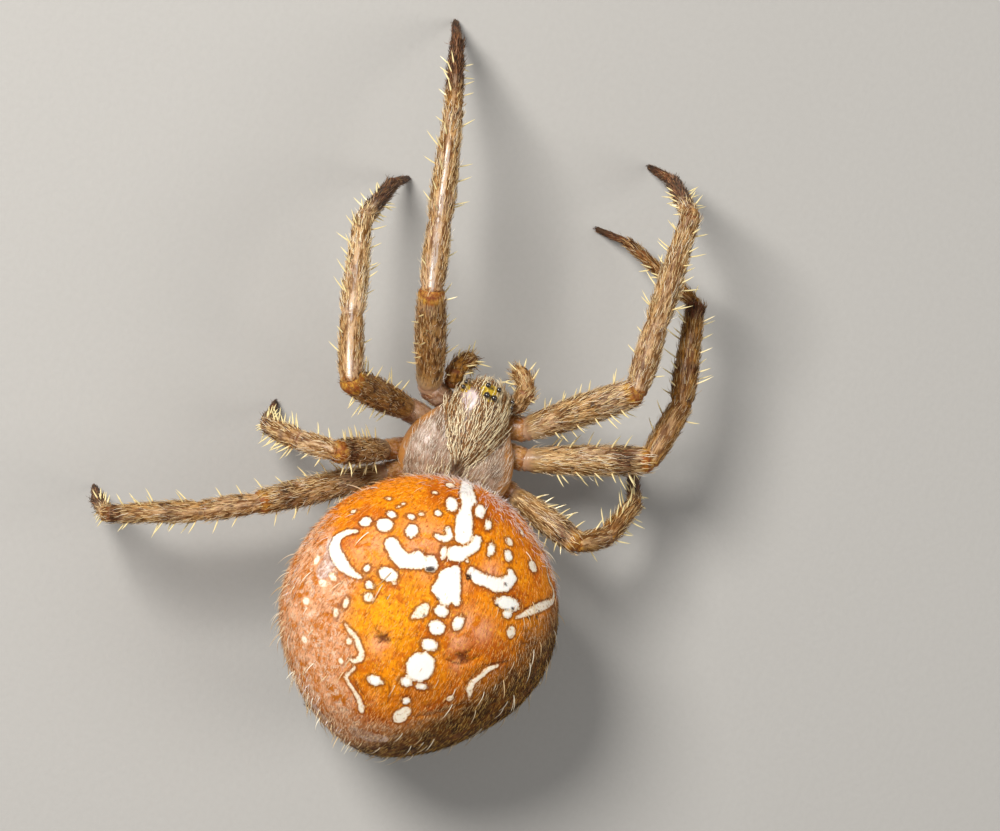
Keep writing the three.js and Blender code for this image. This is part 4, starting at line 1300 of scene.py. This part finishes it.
def joint_material():
    n = Finish("joint_hide")
    here = n.place()
    fine = n.noise(here, 9.0, 3.0, 0.55)
    slow = n.noise(here, 1.2, 2.0, 0.5)
    share = slow.between(0.40, 0.60)
    amber = n.mix((0.36, 0.135, 0.020), (0.52, 0.26, 0.08), share)
    mauve = n.mix((0.27, 0.125, 0.055), (0.58, 0.38, 0.25), share)
    colour = n.over(
        mauve,
        (amber, n.carried("tone") * 2.0),
        ((0.60, 0.40, 0.33), fine.between(0.50, 0.66) * 0.5),
        ((0.17, 0.050, 0.014), fine.between(0.46, 0.36) * 0.5),
        ((0.14, 0.036, 0.010), n.carried("seam") * 0.6))
    return n.end(colour, 0.34 + fine * 0.12, fine + slow * 0.6, 0.015, wet=0.35, flesh=True)


def add_piece(name, data, replaced=()):
    piece = bpy.data.objects.new(name, data)
    bpy.context.scene.collection.objects.link(piece)
    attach(piece, "root")
    if replaced:
        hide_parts(*replaced)


for finish in (belly_material(), head_material(), leg_material(), joint_material()):
    skin_mesh.materials.append(finish)
flesh = [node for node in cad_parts
         if node.startswith(("abdomen", "carapace", "pedicel", "spinnerets", "palp_", "leg"))]
add_piece("spider_skin", skin_mesh, flesh)

# ---- eyes, jaws, fangs, plates and claws ------------------------------------------------


def eye_material():
    n = Finish("eye_glass")
    depth = n.noise(n.place(), 9.0, 2.0)
    colour = n.mix((0.006, 0.004, 0.003), (0.03, 0.016, 0.01), depth)
    return n.end(colour, 0.06 + depth * 0.04, wet=1.0, film=0.02, ior=1.55)


def horn_material(name, dark, light, rough, gloss=0.4):
    n = Finish(name)
    here = n.place()
    streak = n.noise(here.vector("MULTIPLY", (6.0, 6.0, 2.0)), 1.0, 3.0, 0.6)
    fine = n.noise(here, 14.0, 3.0, 0.6)
    colour = n.over(dark, (light, streak.between(0.4, 0.65)),
                    (dark, fine.between(0.55, 0.75) * 0.6))
    return n.end(colour, rough + fine * 0.12, fine + streak, 0.012, wet=gloss, film=0.15)


def add_shells(name, grids, material, replaced=()):
    """A piece of closed shells, one from each grid of rings."""
    shell = Skin()
    for grid in grids:
        shell.add(grid, 0, (0, 0, 1, 1))
    data = bpy.data.meshes.new(name)
    data.from_pydata(to_scene(np.concatenate(shell.points)).tolist(), [], shell.faces)
    face_out(data)
    data.materials.append(material)
    add_piece(name, data, replaced)


def ball_grid(middle, out, radius, rows=20, sides=32):
    """A lens: a ball a little flatter across its outer side."""
    side = unit(np.cross(out, [0.2, 1.0, 0.1]))
    other = np.cross(out, side)
    fall, turn = laps_and_turns(rows, sides)
    ring = np.cos(turn)[..., None] * side + np.sin(turn)[..., None] * other
    return (middle + radius * (np.cos(fall)[..., None] * out * 0.97
                               + np.sin(fall)[..., None] * ring))


eye_glass = eye_material()
for name, middle, out, radius in eye_places():
    add_shells(name + "_lens", [ball_grid(middle, out, radius)], eye_glass, [name])

STERNUM = dict(front=-1.75, rear=2.35, bottom=3.02, top=4.12, half_width=0.98)


def sternum_grid():
    lap, turn = laps_and_turns(60, 56)
    along = -np.cos(lap) + 0 * turn
    px, pz = np.sin(lap) * np.cos(turn), np.sin(lap) * np.sin(turn)
    s = STERNUM
    t = (along + 1) / 2
    y = s["front"] + (s["rear"] - s["front"]) * t
    swell = 1.1 - 0.35 * t
    bays = 1 - 0.05 * np.cos(t * math.pi * 8) * smooth(t, 0.1, 0.3) * (1 - smooth(t, 0.75, 0.95))
    x = np.sign(px) * np.abs(px) ** 0.7 * (s["half_width"] - 0.04) * swell * bays
    flat = np.sign(pz) * np.abs(pz) ** 0.5
    z = s["bottom"] + 0.03 + (s["top"] - s["bottom"] - 0.06) * (flat + 1) / 2
    return np.stack([x, y, z], axis=-1)


plate_dark = horn_material("plate_shell", (0.035, 0.016, 0.008), (0.16, 0.08, 0.035), 0.4)
jaw_shell = horn_material("jaw_shell", (0.030, 0.009, 0.003), (0.13, 0.042, 0.012), 0.5, 0.1)
fang_horn = horn_material("fang_horn", (0.012, 0.006, 0.004), (0.09, 0.025, 0.01), 0.22)
add_shells("sternum_plate", [sternum_grid()], plate_dark, ["sternum"])


def epigyne_grid():
    """The scape: a wrinkled tongue that points back from a raised base."""
    place = [belly_frame(np.array(0.0), np.array(y), z)
             for y, z in ((-2.2, .75), (-1.8, .66), (-1.4, .62), (-1.0, .62))]
    grid, t = bent_rod(place, (.2, .23, .18, .12), 24, 40)
    middle = grid.mean(axis=1, keepdims=True)
    folds = 1 - 0.06 * np.cos(t * 40)[:, None, None]
    return middle + (grid - middle) * folds


add_shells("epigyne_plate", [epigyne_grid()], plate_dark, ["epigyne"])
JAW = [(.5, -1.84, 4.3), (.5, -2.05, 3.6), (.48, -2.24, 2.68)]
FANG = [(.56, -2.22, 2.98), (.60, -2.25, 2.6), (.53, -2.21, 2.36), (.34, -2.1, 2.28),
        (.14, -1.92, 2.42)]
for side, sign in (("left", 1), ("right", -1)):
    jaw, _ = bent_rod([(x * sign, y, z) for x, y, z in JAW],
                      (.34, .40, .41, .39, .34, .27), 32, 40)
    add_shells("jaw_" + side, [jaw], jaw_shell, ["chelicera_" + side])
    fang, _ = bent_rod([(x * sign, y, z) for x, y, z in FANG],
                       (.16, .17, .13, .08, .02), 20, 30)
    add_shells("fang_tip_" + side, [fang], fang_horn, ["fang_" + side])


def claw_grids():
    """Two claws and a middle hook on each foot."""
    for name in POSE:
        joints = leg_joints(name)
        ways, uppers = leg_frames(joints)
        way, upper = ways[-1], uppers[-1]
        across = np.cross(way, upper)
        for aside, size in ((-0.04, 0.2), (0.04, 0.2), (0.0, 0.13)):
            start = joints[-1] + across * aside - way * 0.08 + upper * 0.02
            middle = start + way * size * 0.55 + upper * 0.05 + across * aside * 0.5
            end = start + way * size - upper * 0.03 + across * aside
            path = np.array([start, middle, end])
            path[:, 2] = np.maximum(path[:, 2], 0.022)
            yield bent_rod(path, (.022, .02, .014, .005), 8, 10)[0]


add_shells("claws", claw_grids(), fang_horn)

# ---- the coat -------------------------------------------------------------------------


def hair_material(name, pale, brown, gloss=0.3, belly=False, darkens=True):
    """Hair that carries the skin's markings, a little lighter than the skin."""
    n = Finish(name)
    strand = n.carried("strand")
    colour = n.mix(brown, pale, strand.between(0.15, 0.70))
    # darker hair behind and low down, as on the skin: partly painted shade
    tail = n.carried("rear") * (1.0 if darkens else 0.15)
    if belly:
        warm = n.mix((0.46, 0.11, 0.004), (0.95, 0.52, 0.12), strand.between(0.15, 0.8))
        field = n.carried("field").between(-0.4, 0.4) * (1 - tail)
        colour = n.mix(colour, warm, field * 0.85)
    else:
        tone = n.carried("tone") * (1.2 - strand * 0.7)
        colour = n.mix(colour, colour.vector("MULTIPLY", (0.52, 0.40, 0.26)), tone)
    dusk = n.mix((0.034, 0.011, 0.001), (0.80, 0.46, 0.08), strand.between(0.42, 0.92))
    dark = n.mix((0.030, 0.011, 0.005), (0.30, 0.12, 0.05), strand.between(0.45, 1.0))
    band = n.carried("band").between(0.35, 0.95)
    colour = n.over(colour, (dusk, tail * 0.92), (dark, band * 0.88))
    return n.end(colour, 0.5, shine=gloss)


STRAND_PATCH = 0.003      # each strand's own patch of the unwrap
STRAND_SHAPES = 4         # strands of different curl
RIGHT_ANGLE = 1.5708


class Grower(Nodes):
    """A tree that grows strands on a mesh, with inputs given as (label, kind, value)."""

    def __init__(self, name, rows):
        super().__init__(bpy.data.node_groups.new(name, "GeometryNodeTree"))
        new_socket = self.tree.interface.new_socket
        for way in ("INPUT", "OUTPUT"):
            new_socket("Geometry", in_out=way, socket_type="NodeSocketGeometry")
        for label, kind, value in rows:
            socket = new_socket(label, in_out="INPUT", socket_type="NodeSocket" + kind)
            socket.default_value = value
        new_socket("Finish", in_out="INPUT", socket_type="NodeSocketMaterial")
        self.group = self.tree.nodes.new("NodeGroupInput")

    def given(self, label):
        return Link(self, self.group.outputs[label])

    def named(self, name, kind="FLOAT"):
        """A value that the mesh carries."""
        return self.make("GeometryNodeInputNamedAttribute", {"data_type": kind}, {"Name": name})

    def store(self, geometry, name, value, kind="FLOAT", domain="POINT"):
        return self.make("GeometryNodeStoreNamedAttribute",
                         {"data_type": kind, "domain": domain},
                         {"Geometry": geometry, "Name": name, "Value": value})

    def random(self, kind, seed, low, high):
        """Random values between two bounds, from the seed given."""
        first = {"FLOAT_VECTOR": 0, "FLOAT": 2, "INT": 4}[kind]
        node = self.make("FunctionNodeRandomValue", {"data_type": kind},
                         {"Seed": self.given("Seed") + seed}, first // 2)
        bounds = node.socket.node.inputs
        bounds[first].default_value, bounds[first + 1].default_value = low, high
        return node

    def cone(self, corners, radius):
        """A fine cone, one long, and the place of each of its points."""
        cone = self.make("GeometryNodeMeshCone", {"fill_type": "NGON"}, {
            "Vertices": corners, "Side Segments": self.given("Joints"), "Fill Segments": 1,
            "Radius Top": 0.0, "Radius Bottom": radius, "Depth": 1.0})
        unwrap = Link(self, cone.socket.node.outputs["UV Map"])
        at = self.make("GeometryNodeInputPosition")
        return (self.store(cone, "strand_map", unwrap, "FLOAT2", "CORNER"),
                *(at.part(axis) for axis in range(3)))

    def moved(self, geometry, x, y, z):
        """Puts each point at the place given."""
        return self.make("GeometryNodeSetPosition", {},
                         {"Geometry": geometry, "Position": self.joined(x, y, z)})

    def turned(self, way, side):
        """The turn that stands a strand along a way, and bends it towards one side."""
        return self.make("FunctionNodeAxesToRotation",
                         {"primary_axis": "Z", "secondary_axis": "X"}, {0: way, 1: side})

    def finish(self, strands):
        """Ends a tree: a patch of OFBake at each root's place, then the finish."""
        local = self.named("strand_map", "FLOAT_VECTOR").vector("SUBTRACT", (0.5, 0.5, 0.0))
        root = self.named("skin_map", "FLOAT_VECTOR")
        patch = root.vector("ADD", local.vector("SCALE", STRAND_PATCH))
        mapped = self.store(strands, "OFBake", patch, "FLOAT2", "CORNER")
        finished = self.make("GeometryNodeSetMaterial", {},
                             {"Geometry": mapped, "Material": self.given("Finish")})
        out = self.tree.nodes.new("NodeGroupOutput")
        self.tree.links.new(finished.socket, out.inputs[0])
        return self.tree


def strand_shape(g, k):
    """One strand standing on its root: a fine cone, curled and waved its own way."""
    cone, x, y, z = g.cone(3, g.given("Fineness"))
    full = 1 + z + z * z
    curl = g.given("Curl") * (0.6 + 0.35 * k)
    wave = g.given("Wave") * z
    bend_x = curl * z * z + wave * (z * (7.0 + k) + 2.1 * k).sine()
    bend_y = wave * (z * (6.0 + 1.3 * k) + 4.0 + 1.7 * k).sine()
    shaped = g.moved(cone, x * full + bend_x, y * full + bend_y, z)
    return g.make("GeometryNodeGeometryToInstance", {}, {0: shaped})


def coat_tree():
    """Strands over the skin, rooted by its carried values and laid along its lie."""
    g = Grower("coat", [
        ("Mask", "String", "cover"), ("Region", "Float", 0.0), ("Density", "Float", 10.0),
        ("Length", "Float", 0.3), ("Shortest", "Float", 0.6), ("Fineness", "Float", 0.02),
        ("Lift", "Float", 0.3), ("Standing", "Float", 1.0), ("Stray", "Float", 0.2),
        ("Curl", "Float", 0.2), ("Wave", "Float", 0.0), ("Joints", "Int", 3),
        ("Seed", "Int", 1),
    ])
    given, named = g.given, g.named
    here = (named("region") - given("Region")).size().between(0.6, 0.4)
    density = named(given("Mask")) * here * given("Density") * 1e6      # from mm to metres
    scatter = g.make("GeometryNodeDistributePointsOnFaces", {"distribute_method": "RANDOM"},
                     {"Mesh": given("Geometry"), "Density": density, "Seed": given("Seed")})
    normal = Link(g, scatter.socket.node.outputs["Normal"])
    shaken = g.random("FLOAT_VECTOR", 5, (-1, -1, -1), (1, 1, 1))
    lie = named("lie", "FLOAT_VECTOR")
    off = lie.vector("DOT_PRODUCT", normal)
    level = lie.vector("SUBTRACT", normal.vector("SCALE", off)).vector("NORMALIZE")
    level = level.vector("ADD", shaken.vector("SCALE", given("Stray")))
    angle = given("Lift") * g.random("FLOAT", 9, 0.6, 1.4) + named("stand") * given("Standing")
    along = (RIGHT_ANGLE - angle).sine()
    way = level.vector("SCALE", along).vector("ADD", normal.vector("SCALE", angle.sine()))
    down = normal.vector("SCALE", -1.0).vector("ADD", level.vector("SCALE", 0.35))
    shapes = g.make("GeometryNodeJoinGeometry")
    for k in range(STRAND_SHAPES):
        g.tree.links.new(strand_shape(g, k).socket, shapes.socket.node.inputs[0])
    share = given("Shortest") + (1 - given("Shortest")) * g.random("FLOAT", 2, 0, 1)
    size = given("Length") * MM * share * named("reach")
    grown = g.make("GeometryNodeInstanceOnPoints", {}, {
        "Points": scatter, "Instance": shapes, "Pick Instance": True,
        "Instance Index": g.random("INT", 3, 0, STRAND_SHAPES - 1),
        "Rotation": g.turned(way.vector("NORMALIZE"), down),
        "Scale": g.joined(size, size, size),
    })
    marked = g.store(grown, "strand", g.random("FLOAT", 7, 0, 1), domain="INSTANCE")
    return g.finish(g.make("GeometryNodeRealizeInstances", {}, {0: marked}))


COAT = coat_tree()
# what a grown piece keeps of all that it could carry
KEPT = {"OFBake", "strand", "along", "band", "field", "tone", "rear", "material_index",
        "position", ".edge_verts", ".corner_vert", ".corner_edge", "sharp_face"}


def lift_off_floor(data):
    """Nothing passes below the floor: what would is pressed flat on it."""
    places = np.empty(len(data.vertices) * 3, np.float32)
    data.vertices.foreach_get("co", places)
    places[2::3] = np.maximum(places[2::3], 0.0)
    data.vertices.foreach_set("co", places)


def grow(name, source, tree, values):
    """Runs a tree on a mesh and keeps what it makes as a plain piece."""
    bed = bpy.data.objects.new(name + "_bed", source)
    bpy.context.scene.collection.objects.link(bed)
    modifier = bed.modifiers.new("grow", "NODES")
    modifier.node_group = tree
    sockets = {item.name: item.identifier for item in tree.interface.items_tree
               if item.in_out == "INPUT"}
    for label, value in values.items():
        modifier[sockets[label]] = value
    evaluated = bed.evaluated_get(bpy.context.evaluated_depsgraph_get())
    data = bpy.data.meshes.new_from_object(evaluated)
    bpy.data.objects.remove(bed)
    data.name = name
    lift_off_floor(data)
    for label in [a.name for a in data.attributes if a.name not in KEPT]:
        data.attributes.remove(data.attributes[label])
    data.uv_layers["OFBake"].active = True
    add_piece(name, data)


cream_hair = hair_material("cream_hair", (0.98, 0.86, 0.58), (0.27, 0.115, 0.025))
fine_hair = hair_material("fine_hair", (0.88, 0.78, 0.64), (0.33, 0.21, 0.12), gloss=0.15)
leg_hair = hair_material("leg_hair", (0.92, 0.71, 0.38), (0.17, 0.066, 0.008), gloss=0.06)
belly_hair = hair_material("belly_hair", (0.92, 0.68, 0.43), (0.36, 0.13, 0.02),
                           gloss=0.04, belly=True)
fringe_hair = hair_material("fringe_hair", (0.95, 0.88, 0.70), (0.76, 0.56, 0.30), darkens=False)
lilac_hair = hair_material("lilac_hair", (0.90, 0.84, 0.82), (0.62, 0.50, 0.46), darkens=False)

# region, mask and finish of each coat, then its values in the order of COAT_VALUES
COAT_VALUES = ("Density", "Length", "Fineness", "Lift", "Standing", "Stray", "Curl", "Wave",
               "Joints")
COATS = {
    "setae_head": ("head", "setae", cream_hair, 92.0, .78, .022, .24, .9, .22, .35, .09, 8),
    "coat_thorax": ("head", "cover", fine_hair, 105.0, .42, .021, .35, 1.0, .3, .3, .04, 4),
    "coat_belly_top": ("belly_top", "cover", belly_hair,
                       130.0, .27, .036, .22, 1.0, .22, .3, .04, 2),
    "coat_belly_under": ("belly_under", "cover", belly_hair,
                         50.0, .3, .038, .35, 1.0, .25, .2, .0, 2),
    "long_belly_top": ("belly_top", "fringe", fringe_hair,
                       1.3, .8, .030, .55, .9, .3, .5, .0, 6),
    "long_belly_under": ("belly_under", "fringe", fringe_hair,
                         1.2, .85, .036, .7, 1.0, .3, .5, .0, 6),
    "fuzz_belly_top": ("belly_top", "fuzz", lilac_hair,
                       14.0, .42, .027, .6, 1.0, .4, .5, .06, 4),
    "coat_palps": ("palps", "cover", leg_hair, 70.0, .5, .026, .55, 1.0, .35, .3, .0, 4),
}
for part in ("left_front", "left_rear", "right_front", "right_rear"):
    COATS["coat_legs_" + part] = (part, "cover", leg_hair,
                                  55.0, .42, .036, .22, 1.0, .18, .2, .04, 3)
    COATS["long_legs_" + part] = (part, "cover", fringe_hair,
                                  20.0, .5, .024, .55, 1.0, .3, .45, .05, 4)
for seed, (name, (region, mask, finish, *values)) in enumerate(COATS.items(), 1):
    grow(name, skin_mesh, COAT, {"Seed": seed, "Region": REGION[region], "Mask": mask,
                                 "Finish": finish, **dict(zip(COAT_VALUES, values))})

# ---- spines ---------------------------------------------------------------------------


# rows of spines on each part: how many in a row, the rows' angles from the upper side,
# where the rows begin and end, and the length of a spine in mm
SPINE_ROWS = {
    "femur": (5, (-95, -62, 60, 95, 150), 0.2, 0.92, 0.75),
    "patella": (2, (-85, 85), 0.25, 0.85, 0.65),
    "tibia": (5, (-100, -68, 66, 100, 165), 0.08, 0.93, 0.8),
    "metatarsus": (4, (-95, -60, 62, 98), 0.06, 0.66, 0.58),
    "palp_tibia": (1, (-80, 80, 0), 0.3, 0.8, 0.6),
    "palp_tarsus": (2, (-80, 80, 0, 150), 0.1, 0.7, 0.6),
    "palp_patella": (1, (-60, 60), 0.6, 0.8, 0.5),
}


def spine_beds():
    """Roots of the leg spines: place, way, length, lie and place on the unwrap of each."""
    rows = []
    for _, joints, parts, thick, _, _, patch in limbs():
        ways, uppers = leg_frames(joints)
        strip = (patch[2] - patch[0]) / len(parts)
        for i, part in enumerate(parts):
            if part not in SPINE_ROWS:
                continue
            count, angles, begin, end, size = SPINE_ROWS[part]
            length = np.linalg.norm(joints[i + 1] - joints[i])
            across = np.cross(ways[i], uppers[i])
            for angle in angles:
                shift = chance.uniform(-0.5, 0.5)
                for k in range(count):
                    if chance.random() < 0.1:
                        continue
                    t = begin + (end - begin) * (k + 0.5 + shift) / count
                    t += chance.uniform(-0.04, 0.04)
                    turn = math.radians(angle + chance.uniform(-14, 14))
                    out = math.cos(turn) * uppers[i] + math.sin(turn) * across
                    radius = float(even_profile(np.array(RADII[part]) * thick, t))
                    tilt = math.radians(chance.uniform(12, 38))
                    way = out * math.cos(tilt) + ways[i] * math.sin(tilt)
                    root = joints[i] + ways[i] * t * length + out * (radius - 0.03)
                    long = size * chance.uniform(0.6, 1.12) * (0.4 + 0.6 * thick)
                    if (root + way * long)[2] < 0.05:
                        continue
                    u = patch[0] + strip * (i + (turn / (2 * math.pi)) % 1)
                    v = patch[1] + (patch[3] - patch[1]) * t
                    rows.append((root, way, long, ways[i], (u, v, 0.0)))
    return rows


def spine_tree():
    """A spine on each root, thick at its foot and a little bowed along the limb."""
    g = Grower("spines", [("Thickness", "Float", 0.03), ("Joints", "Int", 5)])
    named = g.named
    cone, x, y, z = g.cone(6, g.given("Thickness") * MM)
    full = 0.85 + z + z * z
    marked = g.store(g.moved(cone, x * full, y * full, z), "along", z)
    lie = named("lie", "FLOAT_VECTOR")
    size = named("size") * MM
    grown = g.make("GeometryNodeInstanceOnPoints", {}, {
        "Points": g.make("GeometryNodeMeshToPoints", {}, {"Mesh": g.given("Geometry")}),
        "Instance": marked, "Rotation": g.turned(named("way", "FLOAT_VECTOR"), lie),
        "Scale": g.joined(1.0, 1.0, size)})
    real = g.make("GeometryNodeRealizeInstances", {}, {0: grown})
    bow = named("along") ** 2.0 * size * 0.12
    return g.finish(g.make("GeometryNodeSetPosition", {},
                           {"Geometry": real, "Offset": lie.vector("SCALE", bow)}))


def spine_material():
    n = Finish("spine_horn")
    fine = n.noise(n.place(), 12.0, 2.0)
    colour = n.over(
        (0.42, 0.13, 0.02),
        ((0.93, 0.80, 0.42), n.carried("along").between(0.04, 0.24)),
        ((0.80, 0.60, 0.24), fine * 0.4))
    return n.end(colour, 0.3 + fine * 0.1, wet=0.3)


def grow_spines():
    rows = spine_beds()
    data = bpy.data.meshes.new("spine_roots")
    data.from_pydata([to_scene(r[0]).tolist() for r in rows], [], [])
    size = [r[2] for r in rows]
    data.attributes.new("size", "FLOAT", "POINT").data.foreach_set("value", size)
    for label, k in (("way", 1), ("lie", 3), ("skin_map", 4)):
        values = np.array([r[k] for r in rows], np.float32).ravel()
        data.attributes.new(label, "FLOAT_VECTOR", "POINT").data.foreach_set("vector", values)
    grow("leg_spines", data, spine_tree(),
         {"Thickness": 0.037, "Joints": 5, "Finish": spine_material()})


grow_spines()
set_camera()
set_lights()
set_floor()
